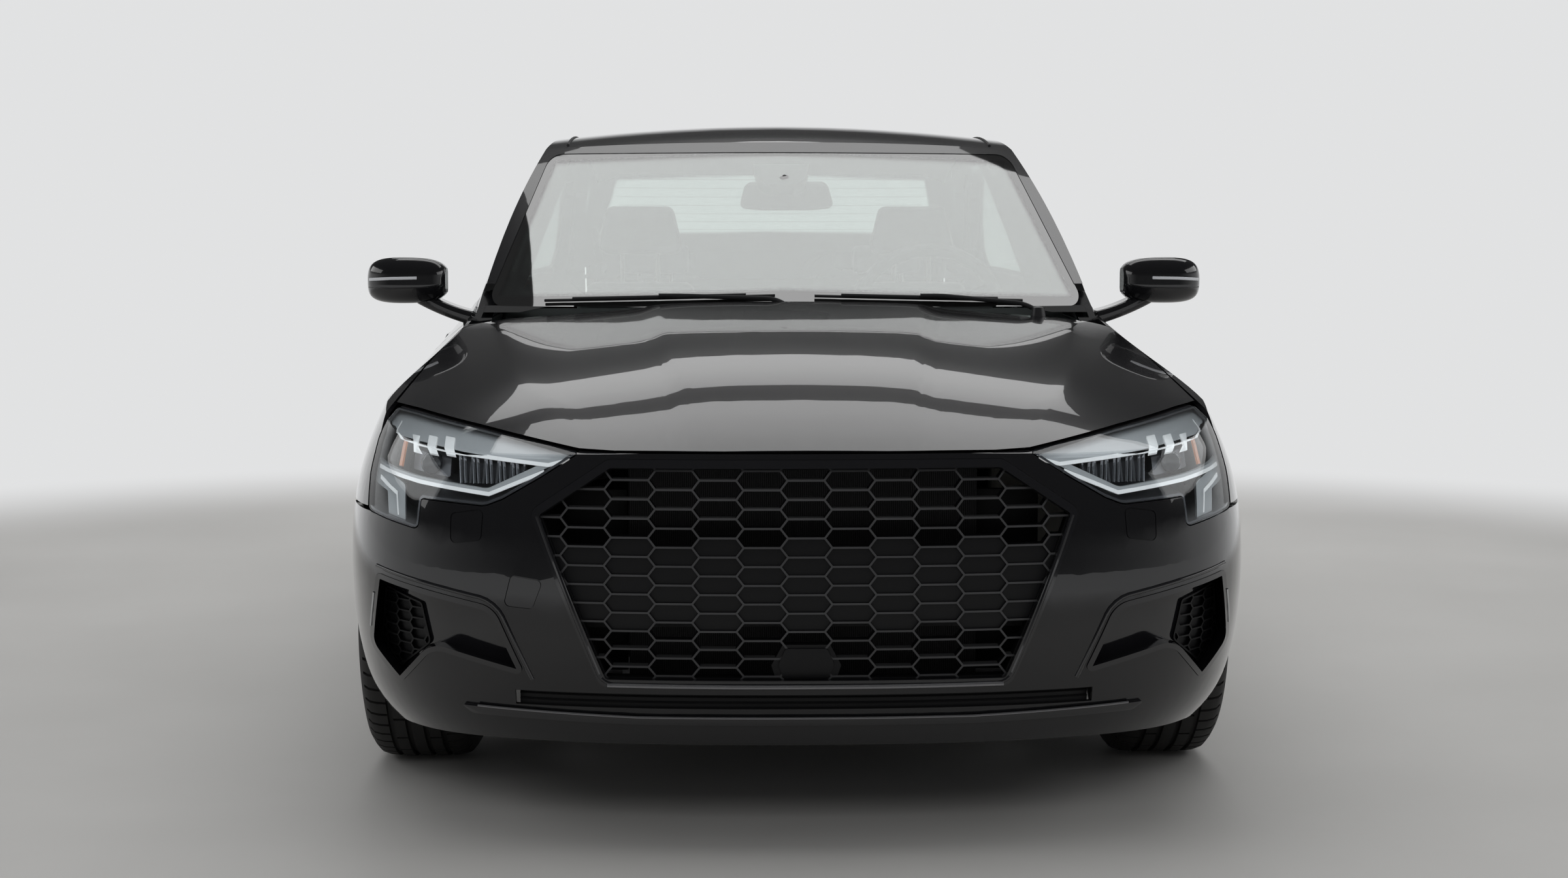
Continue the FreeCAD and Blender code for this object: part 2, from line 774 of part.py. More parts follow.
DOOR_LEAD = [
    (front_axle + 512, 212, 0),
    (front_axle + 470, 560, 200),
    (front_axle + 452, 800, 80),
]
fender_side = side_prism(
    [
        (front_axle - 600, 601 + gap, 0),
        (front_axle - 440, 598 + gap, 0),
        (front_axle - 200, 566 + gap, 0),
        (front_axle - 200, low, 0),
        (front_axle + 512 - gap, low, 0),
    ]
    + [(station - gap, z, radius) for station, z, radius in DOOR_LEAD]
    + [(front_axle + 452 - gap, 1000, 0), (front_axle - 600, 1000, 0)],
    0,
    1200,
)
cowl_half = 735.0
fender = thin.common(fender_side).cut(
    [hood_way, lamp_cut, front_wheel]
    + [block(0, 700, -100, front_axle, 0, 1300), block(0, cowl_half, front_axle, front_axle + 600, 0, 1300)]
    + [center_face.cut(block(-1200, 1200, -200, 2000, 776, 1300))]
)
feature("front_fenders", pair(fender))

frame_width = size("frame_width")
grille_ring = grille_prism.cut(front_prism(whole(GRILLE), -100, 400, -frame_width))
frame_room = lower_form(-2).cut(lower_form(30, 60))
grille_frame = frame_room.common(front_prism(whole(GRILLE), -100, 400, -seat)).common(grille_ring)
intake_line = 10.0
intake_back = 28.0
intake_ring = front_prism(INTAKE, -100, front_axle - 250, -seat).cut(front_prism(INTAKE, -100, front_axle, -intake_line))
intake_floor = lower_form(intake_back, 60).cut(lower_form(intake_back + skin, 60))
intake_floor = intake_floor.common(front_prism(INTAKE, -100, front_axle - 250, -seat))
intake_floor = intake_floor.cut(front_prism(INTAKE_MESH, -100, front_axle, seat))
intake_frame = frame_room.common(intake_ring).fuse(intake_floor).cut(front_prism(INTAKE_MESH, -100, front_axle, seat))
feature("grille_frames", Part.makeCompound([grille_frame, intake_frame, mirrored(intake_frame)]))

# Honeycomb of the grille: open above and below, closed by a back plate in the middle

mesh_front = 12.0
pocket = 5.0
closed_from, closed_to = 426.0, 562.0
cell = (size("cell_pitch"), size("cell_height"), size("cell_flank"), size("rib"))
mesh_front_form = lower_form(mesh_front, 60)
main_mesh = mesh_front_form.cut(lower_form(mesh_front + size("grille_depth"), 60))
main_mesh = main_mesh.common(front_prism(whole(GRILLE), -100, 400, -frame_width - seat))
cells = honeycomb(whole(GRILLE), -frame_width - seat - 3, 0, 494, *cell)
open_cells = through([face for z, face in cells if not closed_from < z < closed_to], 500)
shut_cells = through([face for z, face in cells if closed_from < z < closed_to], 500)
shut_cells = shut_cells.cut(lower_form(mesh_front + pocket, 60))
main_mesh = main_mesh.cut([open_cells.cut(front_prism(RADAR_COVER, -200, 500)), shut_cells])
small_cell = (cell[0] * 0.37, cell[1] * 0.62, cell[2] * 0.46, cell[3] * 0.8)
intake_mesh = lower_form(intake_back - 4, 60).cut(lower_form(intake_back + skin, 60))
intake_mesh = intake_mesh.common(front_prism(INTAKE_MESH, -100, front_axle - 250))
small_cells = honeycomb(INTAKE_MESH, -3, 735, 390, *small_cell)
small_pockets = through([face for z, face in small_cells], front_axle - 150).cut(lower_form(intake_back + 2, 60))
intake_mesh = intake_mesh.cut(small_pockets)
feature("grilles", Part.makeCompound([biggest(main_mesh), biggest(intake_mesh), biggest(mirrored(intake_mesh))]))

# Headlamps: lens, bowl with its modules, and the light guides that hang in the bowl

lens_back = 6.0
lens = lower_form(1).cut(lower_form(lens_back, 60)).common(lamp_prism)
feature("headlamp_lenses", pair(lens))
lamp_wall = size("lamp_wall")
lamp_depth = size("lamp_depth")
lamp_box = lower_form(lens_back + seat, 60).cut(lower_form(lamp_depth, 60))
lamp_box = lamp_box.common(front_prism(HEADLAMP, -100, front_axle - 250, -seat))
lamp_hollow = lower_form(0, 60).cut(lower_form(lamp_depth - lamp_wall, 60))
lamp_hollow = lamp_hollow.common(front_prism(HEADLAMP, -100, front_axle - 250, -seat - lamp_wall))
module_room = lower_form(lamp_depth * 0.36, 60).cut(lower_form(lamp_depth - lamp_wall / 2, 60))
modules = [module_room.common(front_prism(module, -100, front_axle - 250)) for module in LAMP_MODULES]
feature("headlamp_housings", pair(lamp_box.cut(lamp_hollow).fuse(modules)))
guides = joined([front_prism(guide, -100, front_axle - 250) for guide in (LAMP_BAND, LAMP_LINE, LAMP_HOOK)])
guides = guides.common(front_prism(HEADLAMP, -100, front_axle - 250, -2 * seat - lamp_wall))
guides = guides.common(lower_form(lens_back + 9, 60).cut(lower_form(lens_back + 18, 60)))
feature("headlamp_lights", pair(guides))

# Windscreen and the panel that carries its lower edge

screen_prism = front_prism(whole(WINDSCREEN), front_axle, front_axle + 1500, -seat)
windscreen = screen_face(3).extrude(Vector(0, 10, 0)).common(screen_prism).common(outer_cabin)
feature("windscreen", windscreen)
cowl_zone = block(-cowl_half, cowl_half, front_axle, front_axle + 600, 700, 1000)
cowl_strip = thin.common(cowl_zone).cut([hood_way, screen_face(3 - seat).extrude(Vector(0, 900, 0))])
cowl_sheet = screen_face(13 + seat).extrude(Vector(0, 12, 0)).common(block(-650, 650, front_axle, front_axle + 500, 870.3, 990))
cowl_sheet = cowl_sheet.common(lower_form(size("door_lap"), 60)).fuse(cowl_sheet.common(lower_form(4)).cut(hood_way))
feature("cowl", Part.makeCompound([biggest(cowl_strip), biggest(cowl_sheet.removeSplitter())]))

# Side of the body: pillars, roof rail, sill and rear quarter

thick_zone = block(-1200, 1200, -200, rear_axle - 385, 0, 1600)
thin_zone = block(-1200, 1200, rear_axle - 385, tail + 200, 0, 1600)
body_room = inner_lower.common(thick_zone).fuse([thin_inner.common(thin_zone), inner_cabin])
left_walls = outer.common(block(0, 1200, front_axle + 300, tail + 200, 0, 1600)).cut(body_room)
pillar_foot = block(0, 735, front_axle + 300, front_axle + 505, 700, 1000)
lap = size("door_lap")
step_room = lower_form(lap, 60).fuse(cabin_form(16, 12, 16, 700))
flange_outer = lower_form(lap + seat, 60).fuse(cabin_form(16 + seat, 12 + seat, 16, 700))
trim_room = lower_form(105, 60).fuse(cabin_form(72, 60, 60, 700))
roof_zone = block(-565, 565, front_axle + 700, rear_axle + 100, 1180, 1500)
flange_room = flange_outer.cut([trim_room, pillar_foot, roof_zone])
flange_room = flange_room.common(block(0, 1200, front_axle + 300, tail, low + 40, 1600))


def door(outline, window):
    opening = side_prism(outline, 400, 1200, -gap / 2)
    inside = side_prism(outline, 400, 1200, -gap / 2 - size("seal_step"))
    rim = opening.cut(inside).common(step_room)
    return left_walls.common(opening).cut([pillar_foot, rim, side_prism(window, 400, 1200)])


handle_gap = 12.0
handle_thickness = 13.0
strap_room = lower_form(-handle_gap - handle_thickness).cut(lower_form(-handle_gap))
foot_room = lower_form(-handle_gap - handle_thickness).cut(lower_form(skin / 2, 60))


def handle(start, end):
    """A strap handle on two feet, which follows the door's skin."""
    strap = [(start, 828, 8), (end, 834, 8), (end, 856, 8), (start, 850, 8)]
    feet = [block(400, 1200, start, start + 26, 820, 870), block(400, 1200, end - 26, end, 820, 870)]
    bar = side_prism(strap, 400, 1200)
    return joined([bar.common(strap_room)] + [bar.common(foot).common(foot_room) for foot in feet])


door_front = door(DOOR_FRONT, WINDOW_FRONT).fuse(handle(*HANDLES[0]))
door_rear = door(DOOR_REAR, WINDOW_REAR).fuse(handle(*HANDLES[1]))
door_holes = []
flanges = []
for outline in (DOOR_FRONT, DOOR_REAR):
    hole = side_prism(outline, 400, 1200, gap / 2)
    door_holes.append(hole)
    ring = side_prism(outline, 400, 1200, gap).cut(side_prism(outline, 400, 1200, -size("seal_step") / 2))
    flanges.append(ring.common(flange_room))

pane_band = cabin_side(size("glass_setback")).extrude(Vector(-glass, 0, 0))
door_panes = []
for window in (WINDOW_FRONT, WINDOW_REAR):
    door_panes.append(pane_band.common(side_prism(window, 400, 1200, -seat)))

screen_hole = front_prism(whole(WINDSCREEN), front_axle, front_axle + 1500)
rear_window_hole = front_prism(whole(REAR_WINDOW), rear_axle - 700, tail)
shelf_zone = block(-640, 640, rear_axle + 100, tail + 200, 300, 1150)
lid_back = rounded_wire(lid_rear, lambda p: at(p.x, rear_axle + 300, p.y))


def lid_prism(grow):
    back = Part.Face(grown(lid_back, grow)).extrude(Vector(0, 1200, 0))
    return plan_prism(lid_plan, 600, 1300, grow).common(back)


lid_room = lid_prism(gap / 2)
lid_sweep = 6.0
lid_way = lid_room.fuse(lid_room.translated(Vector(0, -lid_sweep, 0)))
tail_cut = front_prism(TAIL_LAMP, rear_axle + 350, tail + 200, seat)
tail_space = front_prism(TAIL_LAMP, rear_axle + 350, tail + 200)
both_tail_cuts = Part.makeCompound([tail_cut, mirrored(tail_cut)])
rear_bumper_zone = side_prism(rear_bumper_line, -1200, 1200)
rear_bumper_room = side_prism(rear_bumper_line, -1200, 1200, gap)
ahead_of_doors = side_prism(
    [(front_axle - 600, 0, 0), (front_axle + 512, 0, 0)]
    + DOOR_LEAD
    + [(front_axle + 452, 938, 0), (front_axle - 600, 938, 0)],
    0,
    1200,
)
side = left_walls.cut(
    door_holes
    + [ahead_of_doors, screen_hole, rear_window_hole, roof_zone, cowl_zone, shelf_zone]
    + [lid_way, tail_cut, rear_bumper_room, rear_wheel, rear_house]
)
post_station = front_axle + 1556
lower_post = block(745, 780, post_station - 45, post_station + 45, 200, 900).common(lower_form(side_wall + gap, 60))
sill = outer_lower.common(block(0, 1200, front_axle + 512, rear_axle - 410, 0, 205)).cut(lower_form(105, 60))
side = side.fuse(flanges + [lower_post, sill])
feature("body_sides", pair(side))
roof = outer.cut(body_room).common(roof_zone).cut([screen_hole, rear_window_hole])
feature("roof_panel", roof)

pane_prism = front_prism(whole(REAR_WINDOW), rear_axle - 700, tail, -seat)
feature("rear_window", rear_window_face(3).extrude(Vector(0, -10, 0)).common(pane_prism).common(outer_cabin))

# Boot lid, its arms, and the deck and shelf in front of it

lid_pin = (tail - 695, 1030)
lid_arm_x = 589.0
lid_arm = bent_arm(
    [
        (lid_pin[0], lid_pin[1], 0),
        (lid_pin[0] + 24, lid_pin[1] - 149, 34),
        (lid_pin[0] + 110, lid_pin[1] - 149, 34),
        (lid_pin[0] + 205, lid_pin[1] + 4, 0),
    ],
    lid_arm_x,
)
plate_recess = front_prism(PLATE_RECESS, rear_axle + 600, tail + 100).cut(lower_form(size("lid_thickness") / 2, 60))
lid = lid_shell.common(lid_prism(-gap / 2)).cut([both_tail_cuts, plate_recess])
feature("boot_lid", lid.fuse([lid_arm, mirrored(lid_arm)]))

deck = outer.cut(body_room).common(shelf_zone).common(block(-640, 640, rear_axle, tail - 440, 900, 1200))
deck_wall = block(-560, 560, tail - 560, tail - 548, 985, 1112).common(outer)
shelf = joined(
    [
        block(-560, 560, rear_axle - 190, tail - 548, 985, 997),
        block(-640, 640, rear_axle - 190, tail - 728, 985, 997),
        block(-690, 690, rear_axle - 44, tail - 728, 985, 997),
    ]
)
shelf = shelf.common(behind_skin.fuse(inner_cabin))
lid_plate = block(598, 606, lid_pin[0] - 40, lid_pin[0] + 14, 985, 1042)
lid_axle = across(pin_radius, lid_arm_x - 9, 600, *lid_pin)
deck = deck.fuse([deck_wall, shelf, lid_plate, lid_axle, mirrored(lid_plate), mirrored(lid_axle)])
deck = deck.cut([lid_way, rear_window_hole])
feature("rear_deck", deck)

tip_cut = block(450, 660, tail - 300, tail + 100, 0, 280)
feature("rear_bumper", thin.common(rear_bumper_zone).cut([lid_room, both_tail_cuts, arches, tip_cut]))
tail_lamp = lower_form(2).cut(lower_form(60, 60)).common(tail_space)
tail_outer = tail_lamp.common(block(lamp_split + gap / 2, 1200, rear_axle, tail + 100, 0, 1300))
tail_inner = tail_lamp.common(block(0, lamp_split - gap / 2, rear_axle, tail + 100, 0, 1300))
feature("tail_lamps", pair(tail_outer))
feature("boot_lid_lamps", pair(tail_inner))

# Doors with their glass and mirrors

for name, panel, pane in (("front", door_front, door_panes[0]), ("rear", door_rear, door_panes[1])):
    feature(f"door_{name}_left", panel)
    feature(f"door_{name}_right", mirrored(panel))
    feature(f"door_{name}_glass_left", pane)
    feature(f"door_{name}_glass_right", mirrored(pane))


def mirror_section(x, middle_station, middle_z, long, high):
    a, b = long / 2, high / 2
    corners = [(-a, -b, b * 0.8), (a, -b, b * 0.5), (a, b, b * 0.5), (-a, b, b * 0.8)]
    return rounded_wire([(p[0], p[1], p[2]) for p in corners], lambda p: at(x, middle_station + p.x, middle_z + p.y))


mirror_station = front_axle + 562
mirror_shell = Part.makeLoft(
    [
        mirror_section(806, mirror_station + 10, 1008, 56, 58),
        mirror_section(834, mirror_station + 2, 1008, 96, 96),
        mirror_section(874, mirror_station, 1008, 108, 107),
        mirror_section(948, mirror_station + 4, 1008, 102, 104),
        mirror_section(980, mirror_station + 14, 1007, 76, 82),
        mirror_section(992, mirror_station + 24, 1005, 40, 44),
    ],
    True,
)
mirror_arm = Part.makeLoft(
    [
        mirror_section(745, mirror_station + 42, 918, 116, 34),
        mirror_section(812, mirror_station + 30, 941, 96, 34),
        mirror_section(872, mirror_station + 10, 974, 74, 42),
    ],
    True,
)
mirror_glass_pocket = block(828, 976, mirror_station + 46, mirror_station + 80, 966, 1050)
mirror = biggest(mirror_shell.fuse(mirror_arm).cut([mirror_glass_pocket, door_front]))
feature("mirror_left", mirror)
feature("mirror_right", mirrored(mirror))

# Floor pan with fire wall, tunnel, boot floor, wheel houses, rails and strut towers

plate = size("floor_thickness")
under = 175.0
FLOOR_LINE = [
    (front_axle + 355, 905, 0),
    (front_axle + 355, 520, 60),
    (front_axle + 517, under, 120),
    (rear_axle - 959, under, 60),
    (rear_axle - 819, 330, 60),
    (rear_axle - 399, 345, 200),
    (rear_axle - 269, 440, 120),
    (rear_axle + 281, 440, 60),
    (rear_axle + 341, 330, 60),
    (tail - 245, 330, 60),
    (tail - 195, 430, 60),
    (tail - 95, 430, 0),
    (tail - 95, 690, 0),
    (rear_axle - 150, 905, 0),
]
fit_room = lower_form(106, 60).common(thick_zone).fuse(behind_skin.common(thin_zone))
tub = side_prism(FLOOR_LINE, -900, 900).cut(side_prism(FLOOR_LINE, -900, 900, -plate))
tub = tub.cut(block(-900, 900, front_axle + 355 + plate, tail - 95 - plate, 640, 910))
tub = tub.common(fit_room)
tunnel_half = 130.0
tunnel_top = 340.0
tunnel = block(-tunnel_half, tunnel_half, front_axle + 420, rear_axle - 800, under, tunnel_top)
tunnel_wide = tunnel_half - plate
tunnel_inside = block(-tunnel_wide, tunnel_wide, front_axle + 300, rear_axle - 790, 100, tunnel_top - plate)
rear_room = size("wheelhouse_radius") - 20
wheelhouse = across(rear_room + 6, 545, 892, rear_axle, tyre_radius)
wheelhouse = wheelhouse.common(behind_skin).common(block(0, 1200, rear_axle - 500, rear_axle + 500, 352, 1000))
wheelhouse_inside = across(rear_room, 551, 902, rear_axle, tyre_radius)
rail_z0, rail_z1 = 380.0, 480.0
rail = block(410, 470, 160, front_axle + 370, rail_z0, rail_z1)
tower_top = 812.0
tower_plate = 12.0
tower = joined(
    [
        block(455, 475, front_axle - 150, front_axle + 150, rail_z1 - 20, tower_top),
        block(455, 690, front_axle - 70, front_axle + 70, tower_top - tower_plate, tower_top),
        block(650, 690, front_axle - 230, front_axle + 370, 724, 760),
    ]
)
upper_leg = block(650, 690, front_axle - 20, front_axle + 20, 750, tower_top - tower_plate / 2)
outrigger = block(670, 890, front_axle - 190, front_axle - 160, 740, 755).common(behind_skin)
hinge_plate = block(711, 719, front_axle + 357, hood_pin[0] + 14, hood_pin[1] - 110, hood_pin[1] + 13)
arm_notch = block(688, 711, front_axle + 340, front_axle + 470, hood_pin[1] - 110, 905)
hinge_axle = across(pin_radius, hood_arm_x - 9, 714, *hood_pin)
tower = tower.common(lower_form(size("lid_thickness") + 7, 60))
front_half = [rail, tower, upper_leg, outrigger, hinge_plate, hinge_axle]
crash_beam = block(-560, 560, 125, 165, 400, 470)
radiator_foot = block(-470, 470, 180, 245, 262, 290 - seat).fuse(block(410, 470, 180, 245, 262, rail_z0))
radiator_foot = radiator_foot.fuse(block(-470, -410, 180, 245, 262, rail_z0))
scuttle = block(-650, 650, front_axle + 150, front_axle + 375, 858, 870).common(lower_form(lap, 60))
kingpin_end = at(578, front_axle, 850)
ball_joint = at(705, front_axle, 190)
kingpin = kingpin_end - ball_joint
kingpin.normalize()
strut_top = kingpin_end - kingpin * ((850 - tower_top - 4) / kingpin.z)
strut_bar = 10.0
tower_bore = rod(strut_top - kingpin * 60, strut_top + kingpin * 40, strut_bar + seat)
floor = tub.cut([wheelhouse_inside, mirrored(wheelhouse_inside), arm_notch, mirrored(arm_notch)])
floor = floor.fuse([tunnel, wheelhouse, mirrored(wheelhouse), crash_beam, radiator_foot, scuttle])
floor = floor.fuse(front_half + [mirrored(piece) for piece in front_half])
floor = floor.cut([tunnel_inside, wheelhouse_inside, mirrored(wheelhouse_inside), tower_bore, mirrored(tower_bore)])
feature("floor_pan", floor)

# Front suspension: cradle with control arms, and the knuckles that the struts carry

cradle = block(-360, 360, front_axle - 130, front_axle + 190, 172, 230).cut(
    block(-270, 270, front_axle - 70, front_axle + 120, 100, 300)
)
leg = block(360, 470, front_axle + 120, front_axle + 180, 200, rail_z0)
ball_pin = 12.0
arm_eye = rod(ball_joint - kingpin * 12, ball_joint + kingpin * 12, 22)
arm_front = rod(at(345, front_axle - 60, 195), ball_joint, 16)
arm_rear = rod(at(345, front_axle + 150, 195), ball_joint, 18)
eye_bore = rod(ball_joint - kingpin * 60, ball_joint + kingpin * 60, ball_pin + seat)
arms = arm_eye.fuse([arm_front, arm_rear, leg]).cut(eye_bore)
feature("front_subframe", cradle.fuse([arms, mirrored(arms)]))

disc_radius = size("disc_diameter") / 2
wheel_inner = size("front_track") / 2 - size("tyre_width") / 2
disc_x = wheel_inner + size("disc_place")
stub = across(size("stub_radius"), 700, wheel_inner + 145, front_axle, tyre_radius)
carrier = across(58, 688, 724, front_axle, tyre_radius)
lower_lug = rod(ball_joint - kingpin * 10, ball_joint + kingpin * 80, ball_pin)
damper_foot = at(638, front_axle, 395)
strut_line = strut_top - damper_foot
strut_line.normalize()
clamp = block(620, 712, front_axle - 24, front_axle + 24, 345, 430)
strut = rod(damper_foot - strut_line * 20, at(606, front_axle, 640), 25)
spring = rod(at(606, front_axle, 636), strut_top - strut_line * (tower_plate + 12), 46)
strut = strut.fuse([spring, rod(strut_top - kingpin * 60, strut_top, strut_bar)])
caliper = block(disc_x - 22, disc_x + size("disc_thickness") + 22, front_axle - 178, front_axle - 100, 270, 366)
caliper = caliper.cut(across(disc_radius + 4, disc_x - 4, disc_x + size("disc_thickness") + 4, front_axle, tyre_radius))
bracket = block(700, disc_x - 8, front_axle - 130, front_axle - 30, 290, 346)
knuckle = carrier.fuse([stub, lower_lug, clamp, strut, caliper, bracket])
feature("knuckle_left", knuckle)
feature("knuckle_right", mirrored(knuckle))

liner_radius = size("wheelhouse_radius")
liner = across(liner_radius + 4, 500, 890, front_axle, tyre_radius).cut(
    [across(liner_radius, 490, 900, front_axle, tyre_radius), block(480, 665, front_axle - 80, front_axle + 80, 500, 800)]
)
liner = liner.common(behind_skin).common(block(0, 1200, 0, front_axle + 600, 240, 1000)).cut(lamp_cut)
feature("arch_liners", pair(liner))

# Rear axle: twist beam, trailing arms, dampers and stub axles

beam_station = rear_axle - 150
damper = rod(at(600, rear_axle + 60, 300), at(590, rear_axle + 95, 760), 22)
damper = damper.common(across(rear_room - seat, 500, 700, rear_axle, tyre_radius))
arm_bracket = block(560, 645, rear_axle - 460, rear_axle - 400, 270, 360)
arm_bracket = arm_bracket.cut(side_prism(FLOOR_LINE, -900, 900, seat))
trailing = joined(
    [
        block(575, 630, rear_axle - 440, rear_axle + 50, 285, 330 - seat),
        across(45, 575, 640, rear_axle, tyre_radius),
        across(size("stub_radius"), 620, size("rear_track") / 2 - size("tyre_width") / 2 + 145, rear_axle, tyre_radius),
        damper,
        arm_bracket,
    ]
)
beam = across(34, -590, 590, beam_station, 300)
feature("rear_axle_beam", beam.fuse([trailing, mirrored(trailing)]))

# Exhaust below the tunnel, and the engine and radiator

silencer = block(-340, 340, rear_axle + 380, rear_axle + 620, 205, 330 - seat)
silencer = silencer.makeFillet(40, [e for e in silencer.Edges if abs(e.Length - 680) < 1])
exhaust_run = pipe(
    [
        (at(0, front_axle + 200, 210), 0),
        (at(0, rear_axle - 300, 210), 150),
        (at(-120, rear_axle + 0, 214), 150),
        (at(-120, rear_axle + 400, 240), 0),
    ],
    27,
)
tips = []
for x in (600, 510):
    tips.append(rod(at(x, rear_axle + 560, 235), at(x, tail - 85, 225), 36))
tip_link = across(30, 300, 610, rear_axle + 575, 238)
feature("exhaust", silencer.fuse([exhaust_run, tip_link] + tips))

# Inside: dashboard, seats and bench

DASHBOARD = [
    (front_axle + 420, 905, 10),
    (front_axle + 640, 940, 60),
    (front_axle + 740, 925, 40),
    (front_axle + 762, 850, 20),
    (front_axle + 735, 720, 40),
    (front_axle + 640, 560, 60),
    (front_axle + 560, 440, 30),
    (front_axle + 455, 440, 10),
    (front_axle + 400, 600, 10),
]
dash_room = lower_form(108, 60).fuse(cabin_form(75, 60, 12, 700))
console = block(-125, 125, front_axle + 500, front_axle + 1420, tunnel_top + seat, 560)
column_axis = Vector(0, -math.cos(math.radians(24)), -math.sin(math.radians(24)))
wheel_middle = at(370, front_axle + 925, 905)
column = rod(wheel_middle + column_axis * (55 + seat), wheel_middle + column_axis * 330, 34)
arm_room = block(640, 900, front_axle + 300, front_axle + 472, 700, 1000)
dashboard = side_prism(DASHBOARD, -900, 900).common(dash_room).cut([arm_room, mirrored(arm_room)])
dashboard = dashboard.fuse([console, column])
feature("dashboard", dashboard)

FRONT_SEAT = [
    (front_axle + 960, 250, 40),
    (front_axle + 950, 470, 70),
    (front_axle + 1200, 455, 300),
    (front_axle + 1420, 470, 60),
    (front_axle + 1560, 1010, 60),
    (front_axle + 1660, 1010, 50),
    (front_axle + 1545, 460, 100),
    (front_axle + 1470, 250, 60),
]
HEAD_REST = [
    (front_axle + 1560, 1060, 30),
    (front_axle + 1590, 1220, 40),
    (front_axle + 1680, 1215, 40),
    (front_axle + 1665, 1060, 30),
]
seat_body = side_prism(FRONT_SEAT, 125, 625)
seat_body = seat_body.makeFillet(35, [e for e in seat_body.Edges if abs(e.BoundBox.XLength) < 0.1])
head_rest = side_prism(HEAD_REST, 245, 505)
posts = [rod(at(x, front_axle + 1605, 960), at(x, front_axle + 1625, 1090), 7) for x in (320, 430)]
runners = [block(x, x + 40, front_axle + 980, front_axle + 1450, under + plate + seat, 270) for x in (190, 540)]
seat_body = seat_body.fuse([head_rest] + posts + runners)
seat_body.translate(Vector(12, 0, 0))
feature("front_seats", pair(seat_body))

BENCH = [
    (rear_axle - 890, 310, 0),
    (rear_axle - 880, 500, 60),
    (rear_axle - 600, 480, 200),
    (rear_axle - 420, 500, 60),
    (rear_axle - 250, 970, 60),
    (rear_axle - 195, 970, 30),
    (rear_axle - 300, 440, 0),
    (rear_axle - 520, 310, 0),
]
bench_clear = across(rear_room + 14, 540, 900, rear_axle, tyre_radius)
bench = side_prism(BENCH, -640, 640).cut([bench_clear, mirrored(bench_clear)])
bench = bench.common(side_prism(FLOOR_LINE, -640, 640, -plate - seat))
bench = bench.cut(block(-tunnel_half - seat, tunnel_half + seat, rear_axle - 900, rear_axle - 700, under, tunnel_top + seat))
feature("rear_bench", bench)

# Pieces of revolution and plain blocks, with every size bound to the sheet


def worth(text):
    return float(SHEET.evalExpression(text))


def plane_of(body, role):
    return next(f for f in body.Origin.OriginFeatures if f.Role == role)


def profile(body, name, corners, role="XY_Plane"):
    """A closed sketch in one of the body's own planes; each corner is a pair of sheet expressions."""
    sketch = body.newObject("Sketcher::SketchObject", name)
    sketch.AttachmentSupport = [(plane_of(body, role), "")]
    sketch.MapMode = "FlatFace"
    values = [Vector(worth(a), worth(b), 0) for a, b in corners]
    count = len(values)
    for i in range(count):
        sketch.addGeometry(Part.LineSegment(values[i], values[(i + 1) % count]), False)
    for i in range(count):
        sketch.addConstraint(Sketcher.Constraint("Coincident", i, 2, (i + 1) % count, 1))
    for i, corner in enumerate(corners):
        for kind, axis, text, value in (
            ("DistanceX", -2, corner[0], values[i].x),
            ("DistanceY", -1, corner[1], values[i].y),
        ):
            if abs(value) < 0.000001:
                sketch.addConstraint(Sketcher.Constraint("PointOnObject", i, 1, axis))
                continue
            number = sketch.addConstraint(Sketcher.Constraint(kind, -1, 1, i, 1, value))
            sketch.setExpression(f"Constraints[{number}]", text)
    return sketch


def turned(body, name, corners):
    """A full turn of a (along the axle, radius) profile about the body's own X axis."""
    sketch = profile(body, name + "_sketch", corners)
    turn = body.newObject("PartDesign::Revolution", name)
    turn.Profile = sketch
    turn.ReferenceAxis = (sketch, ["H_Axis"])
    turn.Angle = 360
    sketch.Visibility = False
    return turn


def axle_body(label, track, station_text, side_sign):
    """A body whose X axis is the wheel's axle, starting at the tyre's inner side."""
    body = DOC.addObject("PartDesign::Body", label)
    body.Label = label
    turn = Rotation(Vector(0, 0, 1), 0 if side_sign > 0 else 180)
    body.Placement = FreeCAD.Placement(Vector(0, 0, 0), turn)
    sign = "" if side_sign > 0 else "-"
    body.setExpression("Placement.Base.x", f"{sign}(sizes.{track} / 2 - sizes.tyre_width / 2)")
    body.setExpression("Placement.Base.y", f"{station_text} - sizes.overall_length / 2")
    body.setExpression("Placement.Base.z", "sizes.tyre_diameter / 2")
    return body


